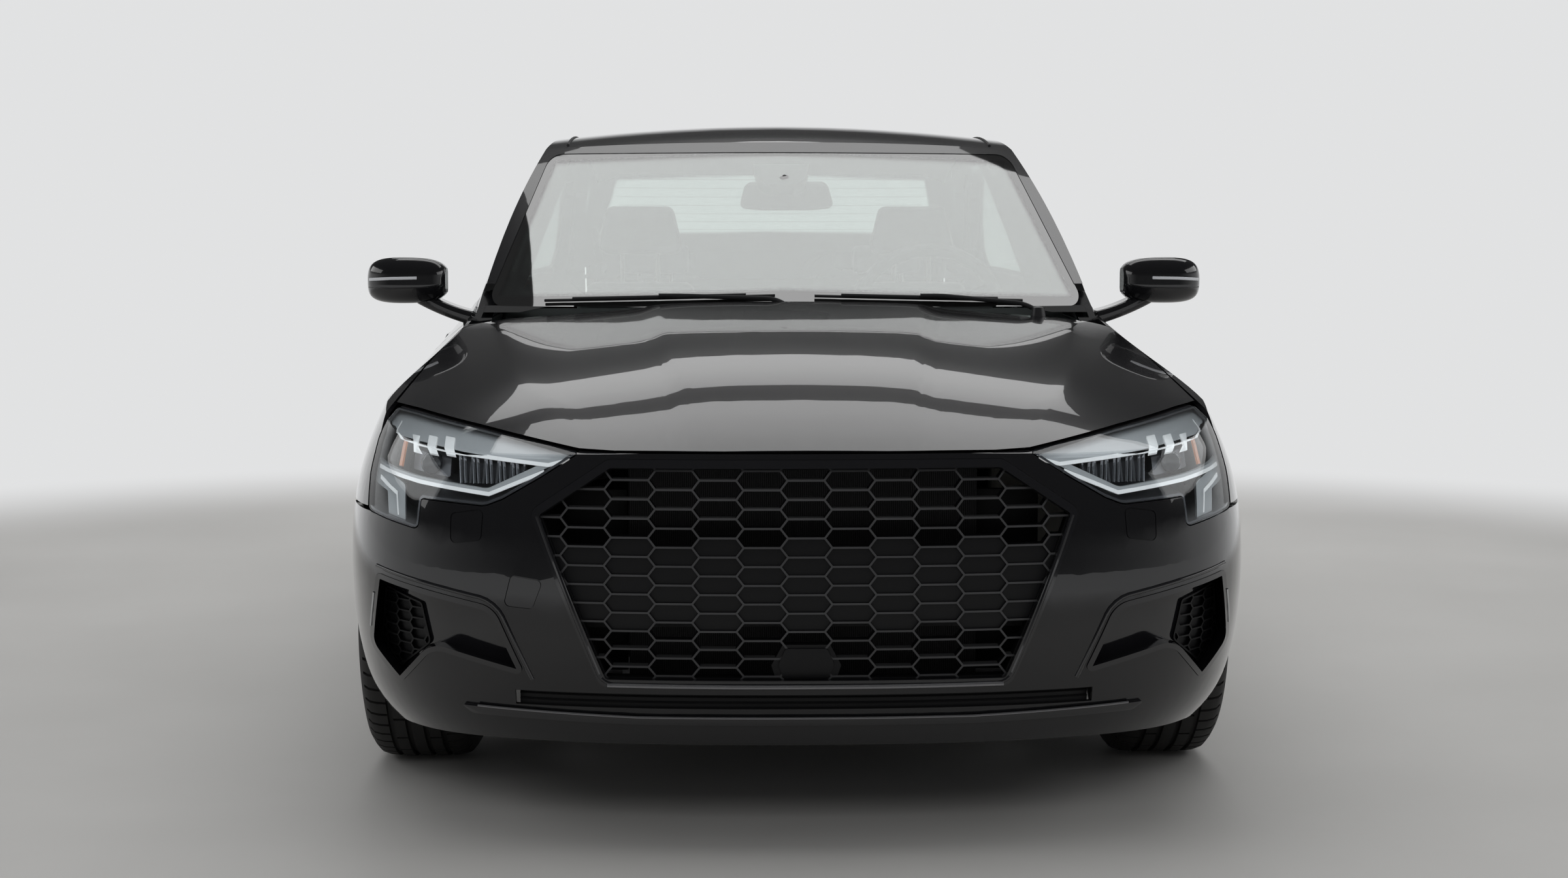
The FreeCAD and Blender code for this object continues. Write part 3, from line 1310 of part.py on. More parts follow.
bead = "sizes.rim_diameter / 2"
outside = "sizes.tyre_diameter / 2"
wide = "sizes.tyre_width"
bead_in = "(sizes.tyre_width - sizes.rim_width) / 2"
bead_out = "(sizes.tyre_width + sizes.rim_width) / 2"
TYRE = [
    (f"{bead_in} + sizes.seat", f"{bead} + sizes.seat"),
    (f"{bead_in} + sizes.seat", f"{bead} + sizes.flange_height + 1"),
    ("0", f"{bead} + 45"),
    ("0", f"{outside} - 27"),
    ("14", outside),
    (f"{wide} - 14", outside),
    (wide, f"{outside} - 27"),
    (wide, f"{bead} + 45"),
    (f"{bead_out} - sizes.seat", f"{bead} + sizes.flange_height + 1"),
    (f"{bead_out} - sizes.seat", f"{bead} + sizes.seat"),
]
RIM = [
    (f"{bead_in} - 6", f"{bead} + sizes.flange_height"),
    (bead_in, f"{bead} + sizes.flange_height"),
    (bead_in, bead),
    (f"{bead_in} + 32", bead),
    (f"{bead_in} + 56", f"{bead} - 24"),
    (f"{bead_out} - 58", f"{bead} - 24"),
    (f"{bead_out} - 36", bead),
    (bead_out, bead),
    (bead_out, f"{bead} + sizes.flange_height"),
    (f"{bead_out} + 6", f"{bead} + sizes.flange_height"),
    (f"{bead_out} + 6", f"{bead} + sizes.flange_height - 6"),
    (f"{bead_out} - 2", f"{bead} - 10"),
    (f"{bead_out} - 44", f"{bead} - 32"),
    (f"{bead_in} + 62", f"{bead} - 32"),
    (f"{bead_in} + 30", f"{bead} - 8"),
    (f"{bead_in} - 6", f"{bead} - 8"),
]
bore = "sizes.stub_radius + sizes.seat"
disc_r = "sizes.disc_diameter / 2"
HUB = [
    ("sizes.hub_face - 38", "0"),
    ("sizes.hub_face", "0"),
    ("sizes.hub_face", "sizes.hub_radius - 36"),
    ("sizes.hub_face - 8", "sizes.hub_radius"),
    ("sizes.disc_place + sizes.disc_thickness", "sizes.hub_radius"),
    ("sizes.disc_place + sizes.disc_thickness", disc_r),
    ("sizes.disc_place", disc_r),
    ("sizes.disc_place", "sizes.hub_radius - 12"),
    ("sizes.hub_face - 48", "sizes.hub_radius - 12"),
    ("sizes.hub_face - 48", "sizes.hub_radius - 28"),
    ("sizes.hub_face - 78", "sizes.hub_radius - 28"),
    ("sizes.hub_face - 78", bore),
    ("sizes.hub_face - 38", bore),
]
for axle, track, place in (
    ("front", "front_track", "sizes.front_overhang"),
    ("rear", "rear_track", "sizes.front_overhang + sizes.wheelbase"),
):
    for hand, sign in (("left", 1), ("right", -1)):
        tyre = axle_body(f"tyre_{axle}_{hand}", track, place, sign)
        turned(tyre, f"tread_{axle}_{hand}", TYRE)
        wheel = axle_body(f"wheel_{axle}_{hand}", track, place, sign)
        turned(wheel, f"rim_{axle}_{hand}", RIM)
        turned(wheel, f"hub_{axle}_{hand}", HUB)
        spokes = []
        for number, lean in enumerate((1, -1)):
            name = f"spoke{number}_{axle}_{hand}"
            near, far = ("14", "34") if lean > 0 else ("-14 - sizes.spoke_width", "-34 - sizes.spoke_width")
            sketch = profile(
                wheel,
                name + "_sketch",
                [
                    (near, "sizes.hub_radius - 10"),
                    (f"{near} + sizes.spoke_width", "sizes.hub_radius - 10"),
                    (f"{far} + sizes.spoke_width", f"{bead} - 16"),
                    (far, f"{bead} - 16"),
                ],
                "YZ_Plane",
            )
            sketch.setExpression(".AttachmentOffset.Base.z", "sizes.hub_face - 4 - sizes.spoke_depth")
            spoke = wheel.newObject("PartDesign::Pad", name)
            spoke.Profile = sketch
            spoke.setExpression("Length", "sizes.spoke_depth")
            sketch.Visibility = False
            spokes.append(spoke)
        DOC.recompute()
        ring = wheel.newObject("PartDesign::PolarPattern", f"spokes_{axle}_{hand}")
        ring.Originals = spokes
        ring.Axis = (plane_of(wheel, "X_Axis"), [""])
        ring.Angle = 360
        ring.setExpression("Occurrences", "sizes.spoke_count")
        wheel.Tip = ring

steering = DOC.addObject("PartDesign::Body", "steering_wheel")
turn = Rotation(Vector(1, 0, 0), column_axis * -1)
steering.Placement = FreeCAD.Placement(wheel_middle, turn)
grip = "sizes.steering_grip"
around = "sizes.steering_wheel_radius"
turned(
    steering,
    "steering_rim",
    [
        (f"{grip} * 0.4", f"{around} - {grip}"),
        (f"{grip} * 1.6", f"{around} - {grip}"),
        (f"{grip} * 2", f"{around} - {grip} * 0.6"),
        (f"{grip} * 2", f"{around} + {grip} * 0.6"),
        (f"{grip} * 1.6", f"{around} + {grip}"),
        (f"{grip} * 0.4", f"{around} + {grip}"),
        ("0", f"{around} + {grip} * 0.6"),
        ("0", f"{around} - {grip} * 0.6"),
    ],
)
BOSS = [("-55", "0"), ("24", "0"), ("24", "50"), ("10", "70"), ("-20", "70"), ("-55", "40")]
turned(steering, "steering_boss", BOSS)
for number, corners in enumerate(
    (
        [("-178", "-24"), ("178", "-24"), ("178", "22"), ("-178", "22")],
        [("-24", "-178"), ("24", "-178"), ("24", "-10"), ("-24", "-10")],
    )
):
    sketch = profile(steering, f"steering_spoke{number}_sketch", corners, "YZ_Plane")
    spoke = steering.newObject("PartDesign::Pad", f"steering_spoke{number}")
    spoke.Profile = sketch
    spoke.Length = 14
    steering.Tip = spoke

engine = DOC.addObject("Part::Box", "engine")
engine.setExpression("Length", "sizes.engine_length")
engine.setExpression("Width", "sizes.engine_width")
engine.setExpression("Height", "sizes.engine_height")
engine.Placement.Base = at(0, front_axle - 380, 230 + seat)
engine.setExpression("Placement.Base.x", "-sizes.engine_length / 2")
radiator = DOC.addObject("Part::Box", "radiator")
radiator.setExpression("Length", "sizes.radiator_width")
radiator.setExpression("Width", "sizes.radiator_depth")
radiator.setExpression("Height", "sizes.radiator_height")
radiator.Placement.Base = at(0, 190, 290)
radiator.setExpression("Placement.Base.x", "-sizes.radiator_width / 2")

DOC.recompute()
SUBPARTS = [o for o in DOC.Objects if o.TypeId in ("Part::Feature", "PartDesign::Body", "Part::Box")]
for made in DOC.Objects:
    if "Invalid" in made.State or "Error" in made.State:
        raise RuntimeError(f"{made.Label} could not be made: {made.State}")
for made in SUBPARTS:
    if made.Shape.isNull() or not made.Shape.isValid() or not made.Shape.Solids:
        raise RuntimeError(f"{made.Label} is not a sound solid")
    print(made.Label, len(made.Shape.Solids), round(made.Shape.Volume / 1000000, 2), "litres")

os.makedirs("parts", exist_ok=True)
for made in SUBPARTS:
    made.Shape.exportStep(f"parts/{made.Label}.step")
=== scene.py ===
import json
import math

import bpy
from mathutils import Matrix, Vector


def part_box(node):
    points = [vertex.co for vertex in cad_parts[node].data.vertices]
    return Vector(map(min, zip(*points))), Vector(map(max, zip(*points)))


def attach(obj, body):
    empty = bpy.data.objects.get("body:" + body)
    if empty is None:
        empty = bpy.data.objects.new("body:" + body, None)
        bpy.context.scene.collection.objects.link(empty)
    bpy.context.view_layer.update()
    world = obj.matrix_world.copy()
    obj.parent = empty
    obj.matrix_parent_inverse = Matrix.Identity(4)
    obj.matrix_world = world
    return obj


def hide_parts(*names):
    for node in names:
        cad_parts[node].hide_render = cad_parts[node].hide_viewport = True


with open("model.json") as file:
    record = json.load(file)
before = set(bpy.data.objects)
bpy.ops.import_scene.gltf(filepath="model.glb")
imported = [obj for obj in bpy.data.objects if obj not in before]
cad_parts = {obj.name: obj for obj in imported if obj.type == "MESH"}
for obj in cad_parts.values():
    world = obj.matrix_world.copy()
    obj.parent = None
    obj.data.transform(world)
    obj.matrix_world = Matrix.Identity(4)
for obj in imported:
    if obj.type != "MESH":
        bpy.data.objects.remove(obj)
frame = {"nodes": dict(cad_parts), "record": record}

scene = bpy.context.scene
scene.view_settings.view_transform = "Standard"
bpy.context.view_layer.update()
nodes = frame["nodes"]

LENGTH = 4.495
FRONT_AXLE = 0.883
REAR_AXLE = 3.519
WHEEL_RADIUS = 0.3185
ARCH_EDGE = 0.3515
CAMERA_AHEAD = 3.89
CAMERA_HEIGHT = 1.09
HANDS = (("left", 1), ("right", -1))
WHEELS = [(axle, hand) for axle in ("front", "rear") for hand in ("left", "right")]


def at(x, station, z):
    """A place on the car: x to its left, station back from the nose, z up."""
    return Vector((x, station - LENGTH / 2, z))


# Camera and lights


def point_at(thing, place, target):
    thing.location = place
    thing.rotation_euler = (Vector(target) - Vector(place)).to_track_quat("-Z", "Y").to_euler()


camera = bpy.data.objects.new("camera", bpy.data.cameras.new("camera"))
scene.collection.objects.link(camera)
camera.data.sensor_width = 36.0
camera.data.lens = 51.3
camera_place = at(-0.137, -CAMERA_AHEAD, CAMERA_HEIGHT)
point_at(camera, camera_place, camera_place + Vector((0.025, 1.0, -0.0866)))
scene.camera = camera


def softbox(name, place, target, width, depth, power, in_gloss):
    lamp = bpy.data.lights.new(name, "AREA")
    lamp.shape = "RECTANGLE"
    lamp.size = width
    lamp.size_y = depth
    lamp.energy = power
    made = bpy.data.objects.new(name, lamp)
    scene.collection.objects.link(made)
    point_at(made, place, target)
    made.visible_glossy = in_gloss


softbox("screen_softbox", (0.9, 1.9, 4.7), (0.9, 1.6, 0), 5.4, 1.9, 46, True)
softbox("hood_softbox", (0.3, 10.9, 8.0), (0.3, 9.4, 0), 7.8, 3.6, 98, True)
softbox("left_softbox", (5.4, -0.3, 3.0), (0, 0, 0.6), 6.0, 1.4, 45, True)
softbox("right_softbox", (-5.4, -0.3, 3.0), (0, 0, 0.6), 6.0, 1.4, 45, True)
softbox("front_fill", (0, -8.5, 4.2), (0, -2, 0.5), 7.0, 2.0, 150, False)
softbox("rear_fill", (0, 8.5, 4.2), (0, 2, 0.5), 7.0, 2.0, 200, False)
softbox("roof_fill", (0, 0, 6.0), (0, 0, 0), 8.0, 8.0, 260, False)

# Materials

FINISHES = {}


class Value:
    """A shader socket that can be used in arithmetic."""

    def __init__(self, owner, socket):
        self.owner = owner
        self.socket = socket

    def maths(self, operation, *others):
        return self.owner.node("ShaderNodeMath", {"operation": operation}, self, *others)

    def __add__(self, other):
        return self.maths("ADD", other)

    def __sub__(self, other):
        return self.maths("SUBTRACT", other)

    def __rsub__(self, other):
        return self.owner.node("ShaderNodeMath", {"operation": "SUBTRACT"}, other, self)

    def __mul__(self, other):
        return self.maths("MULTIPLY", other)

    def __truediv__(self, other):
        return self.maths("DIVIDE", other)

    def __lt__(self, other):
        return self.maths("LESS_THAN", other)

    def power(self, other):
        return self.maths("POWER", other)

    def size(self):
        return self.maths("ABSOLUTE")

    __radd__ = __add__
    __rmul__ = __mul__


class Nodes:
    """A tree of shader nodes that reads one kind of coordinates."""

    def __init__(self, tree, coordinates):
        self.tree = tree
        self.where = self.node("ShaderNodeTexCoord", {}, output=coordinates)

    def put(self, socket, value):
        if isinstance(value, Value):
            self.tree.links.new(value.socket, socket)
        elif value is not None:
            is_colour = hasattr(socket.default_value, "__len__") and len(socket.default_value) == 4
            if is_colour and len(value) == 3:
                value = (*value, 1)
            socket.default_value = value

    def node(self, kind, settings, *values, output=0, **named):
        """Adds any node: its settings first, then the values or links of its sockets."""
        made = self.tree.nodes.new(kind)
        for name, value in settings.items():
            setattr(made, name, value)
        for i, value in enumerate(values):
            self.put(made.inputs[i], value)
        for name, value in named.items():
            self.put(made.inputs[name], value)
        return Value(self, made.outputs[output])

    def noise(self, scale, detail, roughness=0.5):
        return self.node(
            "ShaderNodeTexNoise", {}, self.where, Scale=scale, Detail=detail, Roughness=roughness
        )

    def graded(self, source, from_min, from_max, to_min, to_max, curve="LINEAR"):
        settings = {"interpolation_type": curve}
        return self.node("ShaderNodeMapRange", settings, source, from_min, from_max, to_min, to_max)

    def between(self, amount, low, high):
        """A number or a colour that goes from low to high with amount."""
        if hasattr(low, "__len__"):
            number_sockets = [None] * 5
            return self.node(
                "ShaderNodeMix", {"data_type": "RGBA"}, amount, *number_sockets, low, high, output=2
            )
        return self.graded(amount, 0.0, 1.0, low, high)

    def along(self, axes):
        """The coordinates along the named axes, as numbers."""
        split = self.tree.nodes.new("ShaderNodeSeparateXYZ")
        self.put(split.inputs[0], self.where)
        return [Value(self, split.outputs["xyz".index(axis)]) for axis in axes]


class Finish(Nodes):
    """A node material; its constants go on the shader's own sockets."""

    def __init__(self, name, **settings):
        self.material = bpy.data.materials.new(name)
        self.material.use_nodes = True
        super().__init__(self.material.node_tree, "Object")
        self.shader = self.tree.nodes["Principled BSDF"]
        for socket, value in settings.items():
            self.set(socket.replace("_", " "), value)
        FINISHES[name] = self.material

    def set(self, name, value):
        self.put(self.shader.inputs[name], value)

    def bump(self, height, strength, distance):
        relief = self.node("ShaderNodeBump", {}, Strength=strength, Distance=distance, Height=height)
        self.set("Normal", relief)

    def show(self, shader):
        self.put(self.tree.nodes["Material Output"].inputs["Surface"], shader)


def grained(name, colour, roughness, grain=900.0, strength=0.25, spread=0.15, **settings):
    """Moulded plastic or cast metal with a fine grain and a slightly uneven sheen."""
    made = Finish(name, **settings)
    wide = made.noise(7.0, 4.0)
    darker = tuple(c * (1 - spread) for c in colour)
    lighter = tuple(min(1.0, c * (1 + spread)) for c in colour)
    made.set("Base Color", made.between(wide, darker, lighter))
    made.set("Roughness", made.between(wide, roughness * 0.85, min(1.0, roughness * 1.15)))
    made.bump(made.noise(grain, 3.0), strength, 0.0004)


def glowing(name, colour, strength):
    """A light guide that is dimly lit. The rear reflectors glow with red_glow too, though they are no lamp:
    painted light.
    """
    made = Finish(name, Coat_Weight=0.5, Emission_Strength=strength)
    wide = made.noise(30.0, 3.0)
    lit = made.between(wide, tuple(c * 0.9 for c in colour), colour)
    made.set("Base Color", lit)
    made.set("Emission Color", lit)
    made.set("Roughness", made.between(wide, 0.15, 0.25))


def speaker_mesh():
    """Perforated sheet in rows; the perforations carry painted shade, coloured near black where they would
    be dark inside.
    """
    made = Finish("speaker_mesh", Metallic=0.4)
    y, z = made.along("yz")
    shaded_holes = ((y * 1250.0).maths("SINE") * (z * 1250.0).maths("SINE")).size()
    # Painted shade: the perforations are coloured near black for the shade inside them.
    made.set("Base Color", made.between(shaded_holes, (0.035, 0.035, 0.036), (0.004, 0.004, 0.004)))
    made.set("Roughness", made.between(shaded_holes, 0.45, 0.9))
    made.bump(1.0 - shaded_holes, 0.5, 0.0008)


def radiator_fins():
    made = Finish("radiator_fins", Metallic=0.6)
    (x,) = made.along("x")
    fins = (x * 1800.0).maths("SINE") * 0.5 + 0.5
    # Painted shade: the gaps between the fins are coloured darker where shade falls between them.
    made.set("Base Color", made.between(fins, (0.006, 0.006, 0.006), (0.03, 0.03, 0.031)))
    made.set("Roughness", made.between(fins, 0.75, 0.5))
    made.bump(fins, 0.4, 0.0008)


def black_paint():
    """Glossy black paint; the folded edges inside the wheel arches are coated with dull underseal."""
    made = Finish("black_paint", Coat_Roughness=0.015, Specular_IOR_Level=0.12)
    y, z = made.along("yz")
    up = z - WHEEL_RADIUS
    off_axle = [y - (station - LENGTH / 2) for station in (FRONT_AXLE, REAR_AXLE)]
    sealed = sum((along * along + up * up) < ARCH_EDGE**2 for along in off_axle)
    flakes = made.between(made.noise(2600.0, 1.0), (0.0035, 0.0035, 0.004), (0.008, 0.008, 0.009))
    made.set("Base Color", made.between(1.0 - sealed, (0.006, 0.006, 0.006), flakes))
    made.set("Roughness", made.between(sealed, made.between(made.noise(2.5, 3.0), 0.16, 0.22), 0.9))
    made.set("Coat Weight", 1.0 - sealed)
    made.bump(made.noise(95.0, 1.0), 0.035, 0.0006)


def screen_print(made, foot, head, width):
    """Where a screen has its black printed border, which fades into dots. Foot and head are each a height in
    the middle, a half width and the height there."""
    x, z = made.along("xz")
    across = x.size()
    low_middle, low_half, low_side = foot
    high_middle, high_half, high_side = head
    from_foot = z - low_middle + across * ((low_middle - low_side) / low_half)
    from_head = high_middle - across * ((high_middle - high_side) / high_half) - z
    from_flank = low_half - (z - low_side) * ((low_half - high_half) / (high_side - low_side)) - across
    nearest = from_foot.maths("MINIMUM", from_head).maths("MINIMUM", from_flank)
    dots = ((x * 1570.0).maths("SINE") * (z * 1570.0).maths("SINE")).size()
    return nearest < dots * 0.010 + width


def windscreen_print(made):
    return screen_print(made, (0.968, 0.700, 0.950), (1.352, 0.602, 1.330), 0.018)


def rear_print(made):
    """The rear window's border and its heater lines."""
    x, z = made.along("xz")
    heater = ((z / 0.026).maths("FRACT") < 0.045) * (x.size() < 0.50)
    return heater.maths("MAXIMUM", screen_print(made, (1.118, 0.600, 1.108), (1.336, 0.500, 1.318), 0.016))


def grille_black():
    """Black plastic. The front edges of the honeycomb's bars carry a painted highlight, a lighter satin
    colour where light would catch them; its closed cells and the grilles at the sides stay dull."""
    made = Finish("grille_black", Specular_IOR_Level=0.3)
    pitch, high, flank, rib = 0.078, 0.033, 0.013, 0.0036
    first_row, half_width = 0.494, 0.48
    x, z = made.along("xz")
    cells = []
    for odd in (0, 1):
        aside = ((x / (2 * pitch) - odd / 2 + 0.5).maths("FRACT") - 0.5).size() * (2 * pitch)
        level = (((z - first_row) / high - odd / 2 + 0.5).maths("FRACT") - 0.5).size() * high
        reach = (pitch + flank) / 2 - level * (2 * flank / high)
        cells.append((level < (high - rib) / 2) * (aside < reach - rib * 0.62))
    bars = (1.0 - cells[0].maths("MAXIMUM", cells[1])) * (x.size() < half_width)
    # Painted highlight: the bars are coloured lighter to stand in for the light their front edges catch.
    highlight_grey = made.between(made.noise(7.0, 4.0), (0.030, 0.030, 0.031), (0.044, 0.044, 0.046))
    made.set("Base Color", made.between(bars, (0.0035, 0.0035, 0.004), highlight_grey))
    made.set("Roughness", made.between(bars, 0.55, 0.40))
    made.bump(made.noise(1200.0, 3.0), 0.1, 0.0004)


def clear(name, tint, shine, printed=None):
    """Thin glass: what is behind shows through it, tinted, under a clean reflection."""
    made = Finish(name)
    made.tree.nodes.remove(made.shader)
    behind = made.node("ShaderNodeBsdfTransparent", {}, tint)
    if printed:
        enamel = made.node("ShaderNodeBsdfDiffuse", {}, (0.006, 0.006, 0.006))
        behind = made.node("ShaderNodeMixShader", {}, printed(made), behind, enamel)
    gloss = made.node("ShaderNodeBsdfGlossy", {}, Roughness=0.02)
    facing = made.node("ShaderNodeLayerWeight", {}, output="Facing")
    made.show(
        made.node("ShaderNodeMixShader", {}, facing.power(5.0) * (1.0 - shine) + shine, behind, gloss)
    )


def tyre_rubber():
    made = Finish("tyre_rubber", Specular_IOR_Level=0.35)
    dust = made.noise(14.0, 5.0)
    made.set("Base Color", made.between(dust, (0.010, 0.010, 0.010), (0.022, 0.021, 0.020)))
    made.set("Roughness", made.between(dust, 0.55, 0.78))
    made.bump(made.noise(700.0, 2.0), 0.3, 0.0003)


def seat_cloth():
    made = Finish("seat_cloth", Roughness=0.85, Sheen_Weight=0.35, Sheen_Roughness=0.5)
    along_x, along_y, along_z = ((place * 2600.0).maths("SINE") for place in made.along("xyz"))
    waves = (along_y * along_x + along_z) * 0.5
    wide = made.noise(9.0, 4.0)
    made.set(
        "Base Color", made.between(waves * 0.5 + wide * 0.5, (0.012, 0.012, 0.013), (0.040, 0.040, 0.042))
    )
    made.bump(waves, 0.5, 0.0006)


def alloy():
    made = Finish("alloy", Metallic=0.9)
    wide = made.noise(18.0, 4.0)
    made.set("Base Color", made.between(wide, (0.33, 0.335, 0.345), (0.42, 0.425, 0.435)))
    made.set("Roughness", made.between(wide, 0.24, 0.34))
    made.bump(made.noise(1400.0, 2.0), 0.1, 0.0002)


for make in (black_paint, grille_black, radiator_fins, speaker_mesh, tyre_rubber, seat_cloth, alloy):
    make()
clear("window_glass", (0.80, 0.86, 0.84), 0.09)
clear("lamp_glass", (0.93, 0.95, 0.96), 0.05)
clear("windscreen_glass", (0.90, 0.95, 0.93), 0.26, windscreen_print)
clear("heated_glass", (0.80, 0.86, 0.84), 0.09, rear_print)
glowing("lamp_bright", (0.8, 0.8, 0.8), 0.35)
glowing("red_glow", (0.45, 0.01, 0.012), 0.12)
grained("body_grey", (0.016, 0.016, 0.017), 0.7, grain=160.0, strength=0.4)
grained("dark_plastic", (0.018, 0.018, 0.019), 0.6)
grained("satin_black", (0.012, 0.012, 0.013), 0.36, grain=1200.0, strength=0.12)
grained("matt_black", (0.004, 0.004, 0.0045), 0.5, grain=1200.0, strength=0.1, Specular_IOR_Level=0.3)
grained("gloss_black_trim", (0.006, 0.006, 0.007), 0.12, grain=300.0, strength=0.02, Coat_Weight=0.6)
grained("trim_black", (0.022, 0.022, 0.024), 0.62, grain=1100.0, strength=0.35)
# Near black for the exhaust mouths: partly the pipes' sooty inside, partly painted shade where the hollow
# pipe is dark.
grained("soot", (0.006, 0.006, 0.006), 0.9)
grained("cast_metal", (0.09, 0.09, 0.095), 0.55, grain=240.0, strength=0.5, Metallic=0.7)
grained("steel", (0.32, 0.30, 0.28), 0.38, grain=300.0, strength=0.2, Metallic=1.0)
grained("aluminium_parts", (0.48, 0.49, 0.5), 0.4, grain=400.0, strength=0.2, Metallic=1.0)
grained("bright_trim", (0.55, 0.56, 0.57), 0.18, strength=0.03, spread=0.05, Metallic=1.0)
# A lighter metal for thin lines that stand in for highlights on gloss black edges: painted highlight.
grained("frame_edge", (0.26, 0.26, 0.27), 0.34, strength=0.03, spread=0.05, Metallic=0.85)
grained("mirror_glass", (0.82, 0.84, 0.86), 0.02, grain=60.0, strength=0.0, spread=0.02, Metallic=1.0)
grained("screen_glass", (0.004, 0.004, 0.005), 0.05, grain=200.0, strength=0.0, spread=0.2, Coat_Weight=1.0)
grained("lamp_white", (0.42, 0.43, 0.44), 0.3, grain=500.0, strength=0.05, spread=0.06, Coat_Weight=0.3)
grained("lamp_bowl", (0.12, 0.12, 0.13), 0.3, grain=500.0, strength=0.05, spread=0.1, Metallic=0.6)
grained("crystal", (0.42, 0.43, 0.46), 0.12, grain=300.0, strength=0.05, spread=0.1, Metallic=0.9)
grained("dark_lens", (0.03, 0.03, 0.035), 0.08, grain=300.0, strength=0.02, spread=0.1, Coat_Weight=1.0)
grained(
    "lamp_glass_solid", (0.45, 0.46, 0.48), 0.12, grain=300.0, strength=0.05, spread=0.1, Coat_Weight=0.6
)
grained("amber_lamp", (0.55, 0.16, 0.03), 0.2, grain=300.0, strength=0.03, spread=0.1)
grained("red_lamp", (0.16, 0.004, 0.006), 0.08, grain=200.0, strength=0.02, Coat_Weight=1.0)
grained("red_dark", (0.09, 0.003, 0.004), 0.12, grain=200.0, strength=0.02, spread=0.1, Coat_Weight=1.0)
grained("plate_white", (0.58, 0.58, 0.57), 0.4, grain=700.0, strength=0.05, spread=0.03)
grained("pale_bottle", (0.42, 0.42, 0.39), 0.45, grain=500.0, strength=0.1, spread=0.08)
grained("headliner", (0.30, 0.30, 0.295), 0.9, grain=1500.0, strength=0.3, spread=0.06)
grained("carpet", (0.014, 0.014, 0.015), 0.95, grain=1700.0, strength=0.9, spread=0.35)

# CAD nodes whose finish is finer than their slot's
OTHER_FINISHES = {
    "headlamp_housings": "lamp_bowl",
    "radiator": "radiator_fins",
    "windscreen": "windscreen_glass",
    "rear_window": "heated_glass",
    "grilles": "grille_black",
}
slots = {part["node"]: part["material_slot"] for part in frame["record"]["subparts"]}
for name, node in nodes.items():
    node.data.materials.clear()
    node.data.materials.append(FINISHES[OTHER_FINISHES.get(name, slots[name])])

# Floor, which goes over into the pale backdrop away from the car

BACKDROP = (0.755, 0.76, 0.765)

bpy.ops.object.select_all(action="DESELECT")
bpy.ops.mesh.primitive_circle_add(vertices=96, radius=40, fill_type="NGON", location=(0, 0, 0))
floor = bpy.context.object
floor.name = "floor"
concrete = Finish("pale_floor", Specular_IOR_Level=0.2)
marks = concrete.noise(0.9, 6.0, 0.6)
concrete.set("Base Color", concrete.between(marks, (0.34, 0.335, 0.325), (0.42, 0.415, 0.405)))
concrete.set("Roughness", concrete.between(marks, 0.5, 0.7))
x, y = concrete.along("xy")
away = (x * x + y * y).power(0.5)
share = concrete.graded(away, 3.4, 5.4, 0.0, 1.0, "SMOOTHSTEP")
lit_floor = Value(concrete, concrete.shader.outputs[0])
glow = concrete.node("ShaderNodeEmission", {}, BACKDROP)
concrete.show(concrete.node("ShaderNodeMixShader", {}, share, lit_floor, glow))
floor.data.materials.append(concrete.material)

# The backdrop is pale to the camera and through glass. Reflections show pale walls beside and behind the car
# under a dark ceiling

world = bpy.data.worlds.new("studio")
scene.world = world
world.use_nodes = True
studio = Nodes(world.node_tree, "Generated")


def ray(kind):
    return studio.node("ShaderNodeLightPath", {}, output=f"Is {kind} Ray")


y, z = studio.along("yz")
walls = studio.graded(y, -0.8, -0.1, 0.10, 0.95)
ceiling = studio.graded(z, 0.13, 0.25, 0.0, 1.0)
reflected = studio.between(ceiling, walls, 0.06)
as_light = studio.between(ray("Glossy"), 0.55, reflected)
seen = ray("Camera").maths("MAXIMUM", ray("Transmission"))
background = studio.tree.nodes["Background"].inputs
studio.put(background["Color"], BACKDROP)
studio.put(background["Strength"], studio.between(seen, as_light, 1.0))

# Modelling


def deselect():
    if bpy.context.mode != "OBJECT":
        bpy.ops.object.mode_set(mode="OBJECT")
    bpy.ops.object.select_all(action="DESELECT")


def take(piece):
    """Selects only this piece, in object mode."""
    deselect()
    piece.select_set(True)
    bpy.context.view_layer.objects.active = piece


def editing(piece, kind="VERT"):
    take(piece)
    bpy.ops.object.mode_set(mode="EDIT")
    bpy.ops.mesh.select_mode(type=kind)


def select_all():
    bpy.ops.mesh.select_all(action="SELECT")


def face_outwards():
    select_all()
    bpy.ops.mesh.normals_make_consistent(inside=False)


def extrude(along):
    bpy.ops.mesh.extrude_region_move(TRANSFORM_OT_translate={"value": along})


def round_corners(by, segments=5):
    if by:
        select_all()
        bpy.ops.mesh.bevel(offset=by, segments=segments, affect="VERTICES")


def pick(piece, test, kind="VERT"):
    """In edit mode, selects what passes the test: a vertex by its place, a face by its middle and normal."""
    editing(piece, kind)
    bpy.ops.mesh.select_all(action="DESELECT")
    bpy.ops.object.mode_set(mode="OBJECT")
    if kind == "VERT":
        for vertex in piece.data.vertices:
            vertex.select = bool(test(vertex.co))
    elif kind == "FACE":
        for face in piece.data.polygons:
            face.select = bool(test(face.center, face.normal))
    bpy.ops.object.mode_set(mode="EDIT")


def chain(points, closed=False):
    """Edges from point to point, extruded one by one."""
    deselect()
    bpy.ops.mesh.primitive_plane_add(size=0.01, location=(0, 0, 0))
    piece = bpy.context.object
    editing(piece)
    select_all()
    bpy.ops.mesh.merge(type="CENTER")
    bpy.ops.transform.translate(value=points[0])
    last = Vector(points[0])
    for point in [*points[1:], points[0]] if closed else points[1:]:
        extrude(Vector(point) - last)
        last = Vector(point)
    if closed:
        select_all()
        bpy.ops.mesh.remove_doubles(threshold=0.00001)
    return piece


